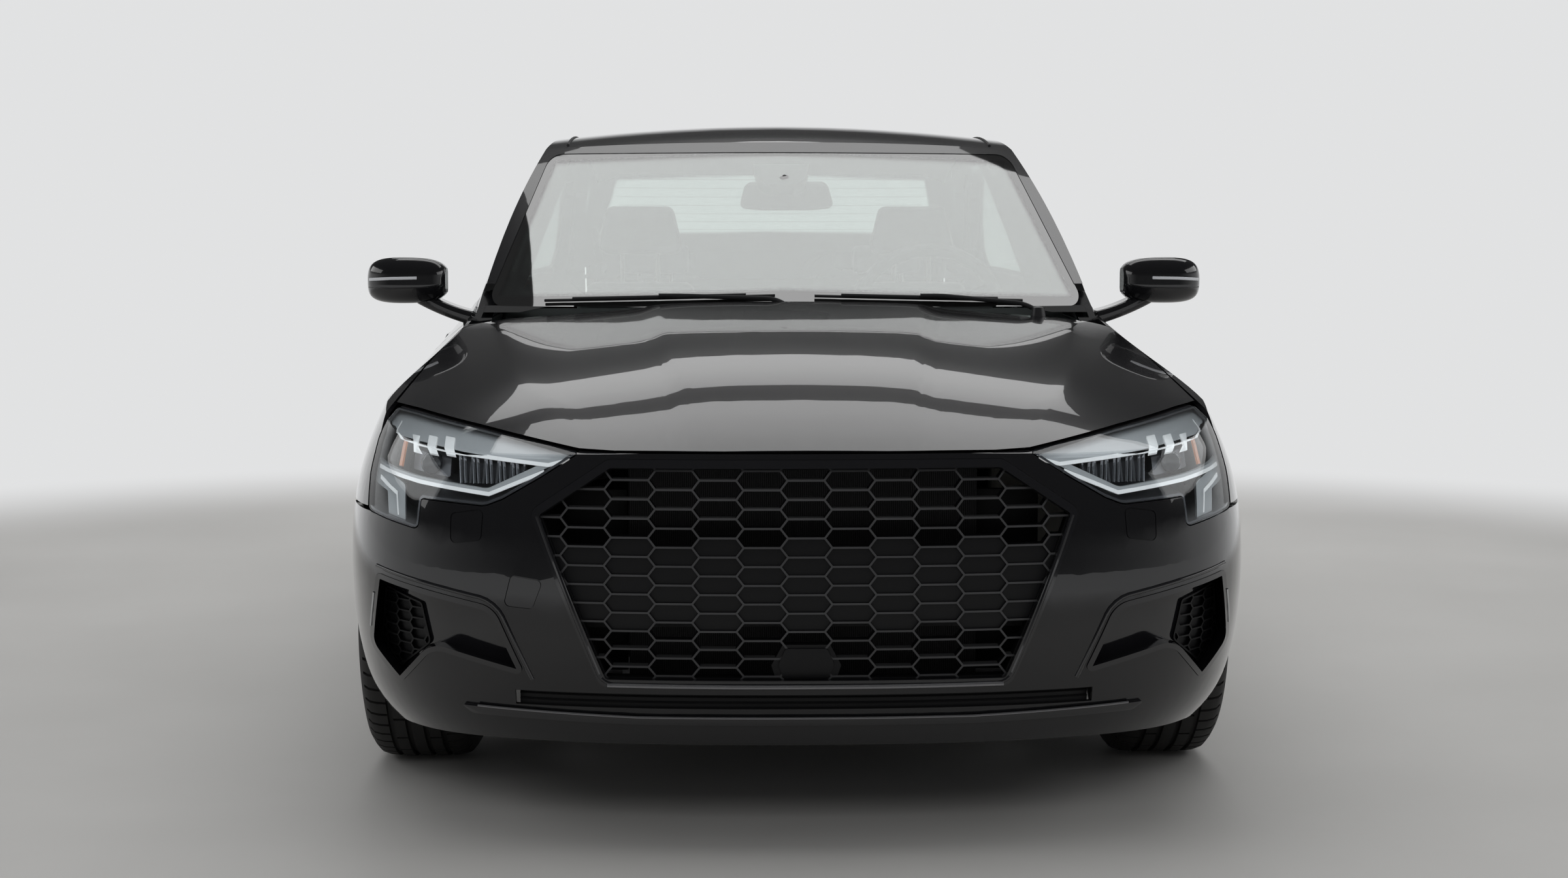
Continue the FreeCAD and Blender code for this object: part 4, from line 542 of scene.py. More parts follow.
def turned(points, centre, axis, steps, closed=False):
    """A profile of (along the axis, radius) points, spun about the axis."""
    centre, axis = Vector(centre), Vector(axis).normalized()
    across = Vector((1, 0, 0)) if axis.z > 0.5 else Vector((0, 0, 1))
    piece = chain([centre + axis * a + across * r for a, r in points], closed)
    select_all()
    bpy.ops.mesh.spin(steps=steps, angle=2 * math.pi, center=centre, axis=axis)
    select_all()
    bpy.ops.mesh.remove_doubles(threshold=0.00002)
    face_outwards()
    return piece


def plate(points, depth):
    """A flat outline, filled and pushed along depth."""
    piece = chain(points)
    select_all()
    bpy.ops.mesh.edge_face_add()
    extrude(depth)
    face_outwards()
    return piece


def block(low, high):
    deselect()
    low, high = Vector(low), Vector(high)
    bpy.ops.mesh.primitive_cube_add(size=1, location=(low + high) / 2, scale=high - low)
    return bpy.context.object


def as_bar(piece, radius, sides):
    """The piece's edges as a round bar with closed ends."""
    take(piece)
    bpy.ops.object.convert(target="CURVE")
    bar = bpy.context.object
    bar.data.bevel_depth = radius
    bar.data.bevel_resolution = sides
    bar.data.use_fill_caps = True
    bpy.ops.object.convert(target="MESH")
    return bpy.context.object


def tube(points, radius, bend=0.0, sides=3):
    """A round bar along straight runs with rounded corners."""
    piece = chain(points)
    round_corners(bend)
    return as_bar(piece, radius, sides)


def with_modifier(piece, kind, **settings):
    take(piece)
    made = piece.modifiers.new(kind.lower(), kind)
    for name, value in settings.items():
        setattr(made, name, value)
    bpy.ops.object.modifier_apply(modifier=made.name)
    return piece


def rounded(piece, width, segments=3):
    return with_modifier(piece, "BEVEL", width=width, segments=segments, limit_method="ANGLE")


def merged(first, *others):
    deselect()
    for piece in (first, *others):
        piece.select_set(True)
    bpy.context.view_layer.objects.active = first
    bpy.ops.object.join()
    return first


def placed(piece):
    """The piece with its place, turn and size in its mesh."""
    take(piece)
    bpy.ops.object.transform_apply(location=True, rotation=True, scale=True)
    return piece


def mirrored(piece):
    """A copy on the car's other side."""
    deselect()
    made = piece.copy()
    made.data = piece.data.copy()
    scene.collection.objects.link(made)
    made.matrix_world = Matrix.Scale(-1, 4, (1, 0, 0)) @ made.matrix_world
    editing(placed(made))
    face_outwards()
    deselect()
    return made


RECORD_SLOTS = {material["slot"] for material in frame["record"]["materials"]}
# The record's slot for a finish that it doesn't list; what is in neither goes to trim_black
SLOT_OF = {
    "lamp_bright": "lamp_white",
    "crystal": "lamp_glass",
    "dark_lens": "lamp_glass",
    "amber_lamp": "lamp_glass",
    "lamp_glass_solid": "lamp_glass",
    "mirror_glass": "window_glass",
    "bright_trim": "aluminium_parts",
    "red_glow": "red_lamp",
    "red_dark": "red_lamp",
    "plate_white": "lamp_white",
    "soot": "steel",
}


def done(piece, name, finish, body="root", angle=35):
    """Names a finished piece, gives it its finish and puts it on its body."""
    placed(piece)
    bpy.ops.object.shade_smooth_by_angle(angle=math.radians(angle))
    piece.name = name
    piece.data.name = name
    piece.data.materials.clear()
    piece.data.materials.append(FINISHES[finish])
    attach(piece, body)
    finish if finish in RECORD_SLOTS else SLOT_OF.get(finish, "trim_black")
    return piece


def both(piece, name, finish, body="root", angle=35):
    """The piece on the left side and its mirror image on the right."""
    other = mirrored(piece)
    done(piece, name + "_left", finish, body, angle)
    done(other, name + "_right", finish, body, angle)


# Seen from the front, rear, left side and above, outlines are written in millimetres, as in the CAD source


def front(points, y=-2.7):
    return [Vector((x / 1000, y, z / 1000)) for x, z in points]


def rear(points):
    return front(points, 2.7)


def side(points, x=1300):
    return [at(x / 1000, station / 1000, z / 1000) for station, z in points]


def above(points, z=1700):
    return [at(x / 1000, station / 1000, z / 1000) for x, station in points]


def ribbon(points, across, cuts=6):
    """A line of points, pushed across and divided."""
    piece = chain(points)
    select_all()
    extrude(across)
    select_all()
    bpy.ops.mesh.subdivide(number_cuts=cuts)
    deselect()
    return piece


def patch(points, every=0.04, corner=0.0):
    """A flat outline, filled and cut into small faces, so that it can be laid on a curved one."""
    piece = chain(points, True)
    round_corners(corner)
    select_all()
    bpy.ops.mesh.edge_face_add()
    for axis in range(3):
        low, high = min(p[axis] for p in points), max(p[axis] for p in points)
        normal = Vector((axis == 0, axis == 1, axis == 2))
        cuts = int((high - low) / every)
        for i in range(1, cuts + 1):
            select_all()
            bpy.ops.mesh.bisect(plane_co=normal * (low + (high - low) * i / (cuts + 1)), plane_no=normal)
    deselect()
    return piece


def thick(piece, thickness):
    editing(piece)
    face_outwards()
    with_modifier(piece, "SOLIDIFY", thickness=thickness, offset=0.0)
    editing(piece)
    face_outwards()
    deselect()
    return piece


def laid_on(piece, node, axis, lift=0.0, thickness=0.0, edge=0.0):
    """Sent along an axis onto a CAD node's nearest face, cut off where the node ends, and made thick."""
    index = "xyz".index(axis)
    start = piece.data.vertices[0].co[index]
    with_modifier(
        piece,
        "SHRINKWRAP",
        target=nodes[node],
        wrap_method="PROJECT",
        wrap_mode="ABOVE_SURFACE",
        use_project_x=axis == "x",
        use_project_y=axis == "y",
        use_project_z=axis == "z",
        use_negative_direction=True,
        use_positive_direction=True,
        offset=lift,
    )
    pick(piece, lambda place: abs(place[index] - start) < 0.0001)
    bpy.ops.mesh.delete(type="VERT")
    deselect()
    if thickness:
        thick(piece, thickness)
    if edge:
        rounded(piece, edge, segments=2)
    return piece


def slab(outline, x0, x1, edge=0.022):
    """A side-view outline pushed across the car, with rounded edges."""
    return rounded(plate(side(outline, x0), Vector(((x1 - x0) / 1000, 0, 0))), edge)


def bead(points, node, axis, radius, corner=0.0, lift=0.0, closed=True, cuts=3):
    """A round bar that follows a CAD node's face."""
    piece = chain(points, closed)
    round_corners(corner, 4)
    select_all()
    bpy.ops.mesh.subdivide(number_cuts=cuts)
    deselect()
    return as_bar(laid_on(piece, node, axis, lift), radius, 2)


def hit(node, start, along):
    """Where a line from start meets a CAD node."""
    found, place, normal, face = nodes[node].ray_cast(Vector(start), Vector(along))
    return place if found else None


def middle_of(node):
    low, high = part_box(node)
    return (Vector(low) + Vector(high)) / 2


# Tyres: four ring grooves, cross grooves in the shoulders and raised rings on the side walls

TREAD_STEPS = 300
bead_seat, shoulder, tread = 0.2295, 0.3055, WHEEL_RADIUS
half = [
    (0.0, tread - 0.001),
    (0.012, tread - 0.001),
    (0.0135, tread - 0.008),
    (0.0215, tread - 0.008),
    (0.023, tread - 0.0005),
    (0.046, tread - 0.0007),
    (0.0475, tread - 0.008),
    (0.056, tread - 0.008),
    (0.0575, tread - 0.0015),
    (0.076, tread - 0.003),
    (0.091, tread - 0.008),
    (0.1005, shoulder - 0.006),
    (0.1075, 0.288),
    (0.1115, 0.270),
    (0.1122, 0.258),
    (0.1090, 0.2545),
    (0.1100, 0.2500),
    (0.1045, 0.2475),
    (0.0985, 0.2470),
    (0.0940, bead_seat + 0.003),
    (0.0700, bead_seat + 0.001),
]
profile = half + [(-a, r) for a, r in reversed(half[1:])]


def tyre(axle, hand):
    centre = middle_of(f"tyre_{axle}_{hand}")
    piece = turned(profile, centre, (1, 0, 0), TREAD_STEPS, closed=True)

    def on_tread(middle):
        """A face's radius, its step round the tyre and its distance from the tyre's middle line."""
        off = middle - centre
        turn = math.degrees(math.atan2(off.y, off.z)) % 360
        return math.hypot(off.y, off.z), int(turn / 360 * TREAD_STEPS), abs(off.x)

    def cross_groove(middle, normal):
        radius, step, aside = on_tread(middle)
        return radius > 0.296 and 0.0575 < aside < 0.10 and step % 5 == 0

    def sipe(middle, normal):
        radius, step, aside = on_tread(middle)
        return radius > 0.3165 and 0.023 < aside < 0.046 and step % 10 == 3

    for groove, depth in ((cross_groove, 0.0055), (sipe, 0.004)):
        pick(piece, groove, "FACE")
        bpy.ops.mesh.extrude_region_shrink_fatten(TRANSFORM_OT_shrink_fatten={"value": -depth})
    deselect()
    done(piece, f"tread_{axle}_{hand}", "tyre_rubber", f"wheel_{axle}_{hand}", 40)
    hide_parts(f"tyre_{axle}_{hand}")


for axle, hand in WHEELS:
    tyre(axle, hand)

# Headlamps: lit guides, slanted bars, fluted reflector, projector lenses and amber marker

BAND_EDGE = [(768, 762), (769, 748), (752, 737), (620, 719), (462, 704), (424, 714)]
LINE_MIDDLE = [(806, 680), (707, 665), (571, 650), (470, 692)]
HOOK_LINE = [(800, 662), (776, 650), (757, 640), (750, 588)]
GUIDE_DEPTH = -0.0125


def across_line(points, width):
    """Front-view outline of a line with a width."""
    upper = [(x, z + width / 2) for x, z in points]
    lower = [(x, z - width / 2) for x, z in reversed(points)]
    return upper + lower


def behind_lens(outline, thickness, depth=GUIDE_DEPTH):
    """A flat piece that follows the headlamp's lens from behind."""
    return laid_on(
        patch(front(outline), every=0.02), "headlamp_lenses", "y", lift=depth, thickness=thickness
    )


lit_lines = ((BAND_EDGE, 6.5), (LINE_MIDDLE, 7.0), (HOOK_LINE, 7.0))
bars = [behind_lens(across_line(line, width), 0.002) for line, width in lit_lines]
for near, far in ((637, 656), (672, 690), (708, 724)):
    bars.append(behind_lens([(near, 713), (far, 715), (far + 7, 746), (near + 7, 744)], 0.004, -0.011))
both(merged(*bars), "lamp_glow", "lamp_bright")


def on_lamp(x, z, depth):
    """A place behind the headlamp's lens, seen from the front, in millimetres."""
    place = hit("headlamp_lenses", (x / 1000, -2.7, z / 1000), (0, 1, 0))
    return place + Vector((0, depth / 1000, 0))


flutes = []
for i in range(15):
    x = 506 + 8.2 * i
    foot, head = 662 - 0.02 * (x - 506), 703 + 0.05 * (x - 506)
    lean = 4 if i % 3 else -3
    flutes.append(tube([on_lamp(x, foot, 36), on_lamp(x + lean, head, 30)], 0.0034, sides=1))
both(merged(*flutes), "lamp_crystals", "crystal", angle=20)

projector = turned(
    [(0.0, 0.0), (0.006, 0.010), (0.009, 0.0165), (0.004, 0.0195), (-0.012, 0.0215), (-0.012, 0.0)],
    on_lamp(682, 690, 42),
    (0, -1, 0),
    28,
)
both(projector, "lamp_projector", "dark_lens")
both(
    behind_lens([(757, 690), (764, 690), (759, 737), (753, 734)], 0.004, -0.02), "lamp_marker", "amber_lamp"
)

# Nose: radar cover in the grille

cover = patch(
    front([(-50, 352), (-37, 382), (37, 382), (50, 352), (40, 326), (-40, 326)]), every=0.05, corner=0.006
)
done(laid_on(cover, "grilles", "y", lift=0.0015, thickness=0.003, edge=0.0008), "radar_cover", "matt_black")

# Grille: its frame's lines, the slot below it, the chin and the edges of the side intakes

frame_line = [(-476, 612), (-361, 314), (361, 314), (476, 612)]
done(
    bead(front(frame_line), "grille_frames", "y", 0.0042, corner=0.02, lift=-0.0015, closed=False, cuts=9),
    "grille_frame_line",
    "gloss_black_trim",
)
# Painted highlight: a bead of lighter metal along the grille frame's foot stands in for the bright reflected
# edge of the gloss frame.
foot_line = [(-352, 313), (-120, 312), (120, 312), (352, 313)]
done(
    bead(front(foot_line), "grille_frames", "y", 0.0045, lift=0.0005, closed=False, cuts=5),
    "grille_foot_line",
    "frame_edge",
)


SLOT_HALF_WIDTH = 0.513
SLOT_FOOT = 0.264
SLOT_STEPS = 26


def along_slot(back, rise):
    """Places along the lower slot, set back behind the bumper's face and raised from its lower edge."""
    marks = []
    for i in range(SLOT_STEPS + 1):
        x = -SLOT_HALF_WIDTH + 2 * SLOT_HALF_WIDTH * i / SLOT_STEPS
        marks.append(hit("front_bumper", (x, -2.7, SLOT_FOOT), (0, 1, 0)) + Vector((0, back, rise)))
    return marks


slot_back = thick(ribbon(along_slot(0.014, 0.002), Vector((0, 0, 0.034)), 1), 0.003)
blades = [tube(along_slot(0.010, rise), 0.0016, sides=1) for rise in (0.013, 0.023)]
done(merged(slot_back, *blades), "lower_slot_mesh", "matt_black")
GUIDE = [(238, 300), (238, 640), (245, 640), (245, 300)]
guides = [slab(GUIDE, low, high, 0.002) for low, high in ((-440, -324), (324, 440))]
done(merged(*guides), "air_guides", "matt_black")
CHIN = [(-620, 262), (-300, 252), (300, 252), (620, 262), (600, 246), (300, 239), (-300, 239), (-600, 246)]
chin = laid_on(
    patch(front(CHIN), corner=0.006), "front_bumper", "y", lift=0.003, thickness=0.006, edge=0.0026
)
done(chin, "chin_blade", "gloss_black_trim")
# Painted highlight: a bead of lighter metal along the chin stands in for the highlight on the lip's upper
# edge.
chin_line = [(-590, 262), (-300, 253), (300, 253), (590, 262)]
done(
    bead(front(chin_line), "front_bumper", "y", 0.0022, lift=0.0045, closed=False, cuts=7),
    "chin_line",
    "frame_edge",
)
intake_rim = bead(
    front([(784, 503), (551, 460), (488, 318)]),
    "front_bumper",
    "y",
    0.0042,
    corner=0.03,
    closed=False,
    cuts=5,
)
both(intake_rim, "intake_rim", "gloss_black_trim", angle=60)
intake_edge = bead(
    front([(784, 489), (786, 486), (809, 352)]), "grille_frames", "y", 0.0022, lift=0.0005, closed=False
)
both(intake_edge, "intake_edge", "bright_trim")

# Windscreen: wipers, cowl slats, sensor housing and interior mirror


def on_screen(x, z, lift):
    """A place above the windscreen, seen from the front, in millimetres."""
    place = hit("windscreen", (x / 1000, -2.7, z / 1000), (0, 1, 0))
    return place + Vector((0, -lift * 0.8, lift * 0.6)) / 1000


for name, foot_x, tip_x, foot_z, tip_z in (
    ("driver_wiper", 545, 60, 960, 972),
    ("passenger_wiper", -30, -560, 973, 960),
):
    marks = [
        on_screen(foot_x + (tip_x - foot_x) * i / 8, foot_z + (tip_z - foot_z) * i / 8, 6) for i in range(9)
    ]
    blade = tube(marks, 0.0035)
    spine = tube([mark + Vector((0, -0.004, 0.003)) for mark in marks[1:-1]], 0.0045)
    middle = marks[4] + Vector((0, -0.008, 0.006))
    pivot = Vector((foot_x / 1000 + 0.03, marks[0].y - 0.05, marks[0].z - 0.024))
    arm = tube(
        [pivot, pivot + Vector((-0.03, 0.010, 0.018)), middle + Vector((0.05, 0, 0)), middle],
        0.0055,
        bend=0.02,
    )
    foot = pivot + Vector((0, 0, -0.012))
    nut = turned([(0, 0), (0.024, 0), (0.021, 0.014), (0.0, 0.018)], foot, (0, 0, 1), 20)
    done(merged(blade, spine, arm, nut), name, "satin_black")

HOUSING = [(-78, 1332), (78, 1332), (62, 1268), (38, 1250), (-38, 1250), (-62, 1268)]
housing = laid_on(
    patch(front(HOUSING), every=0.03, corner=0.012),
    "windscreen",
    "y",
    lift=-0.022,
    thickness=0.030,
    edge=0.006,
)
done(housing, "screen_sensor_housing", "trim_black")

MIRROR_MIDDLE = at(0.012, 1.838, 1.216)
MIRROR_TURN = (math.radians(8), 0, math.radians(-10))
MIRROR_FRAME = [(-122, -30), (-104, 36), (104, 36), (122, -30), (70, -36), (-70, -36)]
MIRROR_FACE = [(-116, -27), (-99, 32), (99, 32), (116, -27), (68, -32), (-68, -32)]


def turned_to_driver(piece, place):
    piece.location = place
    piece.rotation_euler = MIRROR_TURN
    return placed(piece)


mirror_frame = rounded(thick(patch(front(MIRROR_FRAME, 0), every=0.05, corner=0.016), 0.022), 0.007)
turned_to_driver(mirror_frame, MIRROR_MIDDLE)
stalk_marks = [MIRROR_MIDDLE + Vector((0, -0.008, 0.01)), MIRROR_MIDDLE + Vector((0, -0.045, 0.05))]
stalk = tube([*stalk_marks, on_screen(0, 1262, -14)], 0.011, bend=0.02)
done(merged(mirror_frame, stalk), "interior_mirror", "trim_black")
mirror_face = thick(patch(front(MIRROR_FACE, 0), every=0.05, corner=0.014), 0.002)
turned_to_driver(mirror_face, MIRROR_MIDDLE + Vector((0.0019, 0.0118, 0.0012)))
done(mirror_face, "interior_mirror_glass", "mirror_glass")

slats = []
for i in range(51):
    x = -0.6 + 0.024 * i
    marks = [hit("cowl", at(x, 1.08 + 0.008 * j, 1.5), (0, 0, -1)) for j in range(50)]
    marks = [mark for mark in marks if mark is not None and mark.z > 0.93]
    if len(marks) > 1:
        slats.append(tube([marks[0], marks[len(marks) // 2], marks[-1]], 0.0028, sides=1))
done(merged(*slats), "cowl_slats", "satin_black")

# Door mirrors: glass, turn indicator and the seam round the housing


def mirror_details(hand, sign):
    mirror, door = f"mirror_{hand}", f"door_front_{hand}"
    middle = at(sign * 0.902, 1.4925, 1.008)
    outline = [(-71, -38), (68, -39), (72, 30), (52, 40), (-60, 39), (-73, 22)]
    glass = patch(
        [middle + Vector((sign * x / 1000, 0, z / 1000)) for x, z in outline], every=0.05, corner=0.012
    )
    done(rounded(thick(glass, 0.0025), 0.0008, segments=2), f"mirror_glass_{hand}", "mirror_glass", door)
    line = [(sign * 868, 1014), (sign * 930, 1013), (sign * 984, 1010)]
    light = laid_on(
        patch(front(across_line(line, 7)), every=0.015),
        mirror,
        "y",
        lift=0.0004,
        thickness=0.003,
        edge=0.0008,
    )
    done(light, f"mirror_indicator_{hand}", "lamp_glass_solid", door)
    seam = bead(
        front([(sign * 842, 992), (sign * 930, 990), (sign * 986, 992)]),
        mirror,
        "y",
        0.0013,
        closed=False,
        cuts=5,
    )
    done(seam, f"mirror_seam_{hand}", "satin_black", door)


for hand, sign in HANDS:
    mirror_details(hand, sign)

# Side windows: seals round the glass, belt strips and pillar covers

WINDOW_FRONT = [(1523, 962), (1843, 1112), (2093, 1246), (2283, 1310), (2378, 1314), (2383, 985)]
WINDOW_REAR = [
    (2515, 990),
    (2509, 1314),
    (2783, 1308),
    (2919, 1286),
    (3069, 1238),
    (3229, 1160),
    (3347, 1078),
    (3369, 1018),
]


def inset(points, by):
    """The outline drawn in towards its middle."""
    middle = [sum(p[i] for p in points) / len(points) for i in (0, 1)]
    made = []
    for a, b in points:
        away = math.hypot(a - middle[0], b - middle[1])
        made.append((a - (a - middle[0]) / away * by, b - (b - middle[1]) / away * by))
    return made


def window_trim(axle, hand, sign, outline, belt):
    body = f"door_{axle}_{hand}"
    seal = bead(
        side(inset(outline, 6), sign * 1300),
        f"door_{axle}_glass_{hand}",
        "x",
        0.0055,
        corner=0.02,
        lift=0.002,
    )
    done(seal, f"window_seal_{axle}_{hand}", "dark_plastic", body)
    strip = laid_on(
        patch(side(belt, sign * 1300), every=0.06, corner=0.003),
        body,
        "x",
        lift=0.001,
        thickness=0.005,
        edge=0.0012,
    )
    done(strip, f"belt_strip_{axle}_{hand}", "bright_trim", body)


def post_cover(axle, hand, sign, outline):
    body = f"door_{axle}_{hand}"
    cover = laid_on(
        patch(side(outline, sign * 1300), every=0.05, corner=0.004),
        body,
        "x",
        lift=0.0012,
        thickness=0.003,
        edge=0.0008,
    )
    done(cover, f"post_cover_{axle}_{hand}", "gloss_black_trim", body)


BELT_FRONT = [
    (1478, 930), (1530, 942), (2000, 966), (2424, 972), (2424, 957), (2000, 951), (1530, 927), (1478, 917)
]
BELT_REAR = [(2462, 973), (2900, 981), (3380, 1003), (3382, 988), (2900, 966), (2462, 958)]
POST_FRONT = [(2391, 985), (2387, 1318), (2430, 1320), (2436, 985)]
POST_REAR = [(2450, 985), (2444, 1320), (2500, 1320), (2508, 985)]
for hand, sign in HANDS:
    window_trim("front", hand, sign, WINDOW_FRONT, BELT_FRONT)
    window_trim("rear", hand, sign, WINDOW_REAR, BELT_REAR)
    post_cover("front", hand, sign, POST_FRONT)
    post_cover("rear", hand, sign, POST_REAR)

# Wheels: centre cap, bolts, valve and brake disc

CAP = [
    (0, 0),
    (0.006, 0),
    (0.0055, 0.018),
    (0.002, 0.0235),
    (0.003, 0.026),
    (0.0015, 0.030),
    (-0.010, 0.032),
    (-0.010, 0),
]
BOLT = [
    (0.012, 0),
    (0.012, 0.0055),
    (0.004, 0.0075),
    (0.004, 0.0095),
    (0.0085, 0.0095),
    (0.0085, 0.0125),
    (-0.004, 0.0135),
    (-0.004, 0),
]
DISC = [(0.0694, 0.100), (0.0694, 0.1566), (0.0956, 0.1566), (0.0956, 0.100)]
BOLTS = 5
BOLT_CIRCLE = 0.056


def wheel_details(axle, hand):
    sign = dict(HANDS)[hand]
    body = f"wheel_{axle}_{hand}"
    centre = middle_of(f"tyre_{axle}_{hand}")
    outward = Vector((sign, 0, 0))
    inner = centre - outward * 0.1125
    hub = inner + outward * 0.188
    done(turned(CAP, hub, outward, 40), f"wheel_cap_{axle}_{hand}", "gloss_black_trim", body)
    bolts = []
    for i in range(BOLTS):
        turn = math.radians(360 / BOLTS * (i + 0.5))
        place = hub + Vector((0, math.sin(turn), math.cos(turn))) * BOLT_CIRCLE - outward * 0.004
        bolts.append(turned(BOLT, place, outward, 6))
    done(merged(*bolts), f"wheel_bolts_{axle}_{hand}", "steel", body)
    valve_ends = [
        centre + Vector((sign * 0.075, 0.066, 0.200)), centre + Vector((sign * 0.098, 0.0635, 0.190))
    ]
    done(tube(valve_ends, 0.0042), f"valve_{axle}_{hand}", "dark_plastic", body)
    done(turned(DISC, inner, outward, 96, closed=True), f"brake_ring_{axle}_{hand}", "steel", body)


for axle, hand in WHEELS:
    wheel_details(axle, hand)

# Tail: lamp guides and ribs, reversing lamps, plate, handle bar, lip, diffuser, reflectors and exhaust ends

LAMP_SIGNATURE = [(880, 868), (700, 862), (670, 858)]
LID_SIGNATURE = [(636, 856), (520, 850), (412, 847)]
PLATE = [(-260, 754), (260, 754), (260, 864), (-260, 864)]
LIP = [(-590, 4452), (590, 4452), (590, 4424), (0, 4414), (-590, 4424)]
DIFFUSER = [
    (-700, 258), (-560, 218), (560, 218), (700, 258), (640, 352), (330, 372), (-330, 372), (-640, 352)
]
TAIL_PIPES = (0.600, 0.510)
PIPE_HEIGHT = 0.2251


def on_tail(outline, node, lift, thickness, edge=0.0, every=0.03, corner=0.0):
    """A flat piece seen from behind, laid on a CAD node."""
    return laid_on(patch(rear(outline), every, corner), node, "y", lift, thickness, edge)


tail_guide = on_tail(across_line(LAMP_SIGNATURE, 9), "tail_lamps", lift=0.0006, thickness=0.002, every=0.02)
both(tail_guide, "tail_guide", "red_glow")
lid_guide = on_tail(
    across_line(LID_SIGNATURE, 9), "boot_lid_lamps", lift=0.0006, thickness=0.002, every=0.02
)
both(lid_guide, "lid_guide", "red_glow", "boot_lid")
reverse = [(628, 832), (470, 830), (470, 818), (628, 812)]
reverse_lamp = on_tail(reverse, "boot_lid_lamps", lift=0.0006, thickness=0.002, corner=0.003)
both(reverse_lamp, "reverse_lamp", "lamp_glass_solid", "boot_lid")
for hand, sign in HANDS:
    lines = []
    for level in (884, 896, 846, 832):
        line = [(sign * 872, level + 3), (sign * 720, level), (sign * 668, level - 6)]
        lines.append(bead(rear(line), "tail_lamps", "y", 0.0011, lift=0.0003, closed=False, cuts=5))
    done(merged(*lines), f"tail_ribs_{hand}", "red_dark")

done(
    on_tail(PLATE, "boot_lid", lift=0.003, thickness=0.0016, edge=0.0005, every=0.05, corner=0.008),
    "plate",
    "plate_white",
    "boot_lid",
)
screws = []
for x in (-0.19, 0.19):
    place = hit("boot_lid", (x, 2.7, 0.809), (0, -1, 0)) + Vector((0, 0.004, 0))
    screws.append(
        turned([(0, 0), (0.0015, 0), (0.001, 0.006), (-0.003, 0.006), (-0.003, 0)], place, (0, 1, 0), 20)
    )
done(merged(*screws), "plate_screws", "steel", "boot_lid")
bar = on_tail(
    [(-282, 874), (282, 874), (276, 896), (-276, 896)],
    "boot_lid",
    lift=0.004,
    thickness=0.012,
    edge=0.003,
    every=0.05,
    corner=0.005,
)
done(bar, "boot_handle_bar", "gloss_black_trim", "boot_lid")
lip = laid_on(
    patch(above(LIP), every=0.05, corner=0.006), "boot_lid", "z", lift=0.003, thickness=0.007, edge=0.002
)
done(lip, "boot_lip", "black_paint", "boot_lid")

done(
    on_tail(DIFFUSER, "rear_bumper", lift=0.002, thickness=0.008, edge=0.002, every=0.05, corner=0.02),
    "diffuser",
    "dark_plastic",
)
fins = []
for x in (-300, -100, 100, 300):
    fin = [(x - 5, 226), (x + 5, 226), (x + 5, 350), (x - 5, 350)]
    fins.append(on_tail(fin, "rear_bumper", lift=0.010, thickness=0.020, edge=0.003))
done(merged(*fins), "diffuser_fins", "dark_plastic")
# Painted light: the reflectors get the glowing red finish, though they are no lamp.
reflector = [(590, 404), (760, 412), (758, 432), (592, 420)]
both(
    on_tail(reflector, "rear_bumper", lift=0.001, thickness=0.004, edge=0.001, corner=0.004),
    "reflector",
    "red_glow",
)

RIM = [
    (0.004, 0.030),
    (0.006, 0.034),
    (0.004, 0.0385),
    (-0.05, 0.0385),
    (-0.05, 0.0362),
    (-0.004, 0.0362),
    (-0.004, 0.032),
    (-0.06, 0.030),
]
# The mouths are flat near-black discs that close the pipes: partly sooty, partly painted shade for the dark
# inside of a hollow pipe.
MOUTH = [(0.0005, 0.0), (0.0005, 0.0305)]
for name, shape, station, finish in (
    ("exhaust_trims", RIM, 4.410, "bright_trim"),
    ("exhaust_mouths", MOUTH, 4.4105, "soot"),
):
    ends = [turned(shape, at(x, station, PIPE_HEIGHT), (0, 1, -0.01), 48) for x in TAIL_PIPES]
    done(merged(*ends), name, finish)

# Roof mouldings and the fuel flap's line

for hand, sign in HANDS:
    line = [(sign * 560, 1800), (sign * 561, 2400), (sign * 561, 2900), (sign * 556, 3400)]
    done(
        bead(above(line), "roof_panel", "z", 0.0042, lift=0.0003, closed=False, cuts=7),
        f"roof_moulding_{hand}",
        "dark_plastic",
    )


def ring(middle, half_long, half_high, steps):
    """An oval round a middle, for a side view."""
    turns = [2 * math.pi * i / steps for i in range(steps)]
    station, z = middle
    return [(station + half_long * math.cos(turn), z + half_high * math.sin(turn)) for turn in turns]


flap = ring((3655, 842), 92, 80, 24)
done(bead(side(flap, -1300), "body_sides", "x", 0.0014, cuts=1), "fuel_flap_line", "satin_black")

# Seats: pads swollen by a cloth simulation between their sewn seams

SWELL_FRAMES = 20
SEAM_WIDTH = 0.006
SEAT_MIDDLE = 0.387
CUSHION = [(1850, 345), (1842, 440), (1880, 462), (2085, 440), (2330, 448), (2340, 345)]
CUSHION_SIDE = [(1870, 330), (1862, 452), (1900, 486), (2085, 470), (2330, 486), (2345, 330)]
CUSHION_SEAMS = [station - LENGTH / 2 for station in (1.965, 2.075, 2.185)]
BACK = [(2345, 462), (2392, 640), (2470, 985), (2524, 990), (2478, 700), (2432, 455)]
BACK_SIDE = [(2318, 500), (2352, 640), (2432, 905), (2512, 960), (2478, 700), (2430, 470)]
HEADREST = [(2462, 1068), (2484, 1204), (2540, 1200), (2540, 1066)]
SEAT_BASE = [(1880, 215), (1868, 352), (2340, 352), (2400, 470), (2440, 470), (2400, 300), (2350, 215)]
BENCH_CUSHION = [(2650, 345), (2652, 452), (2700, 474), (2900, 455), (3075, 478), (3085, 360)]
BENCH_BACK = [(3105, 488), (3150, 610), (3262, 945), (3302, 948), (3226, 620), (3196, 470)]
BENCH_WING = [(3150, 640), (3252, 935), (3296, 940), (3226, 655)]


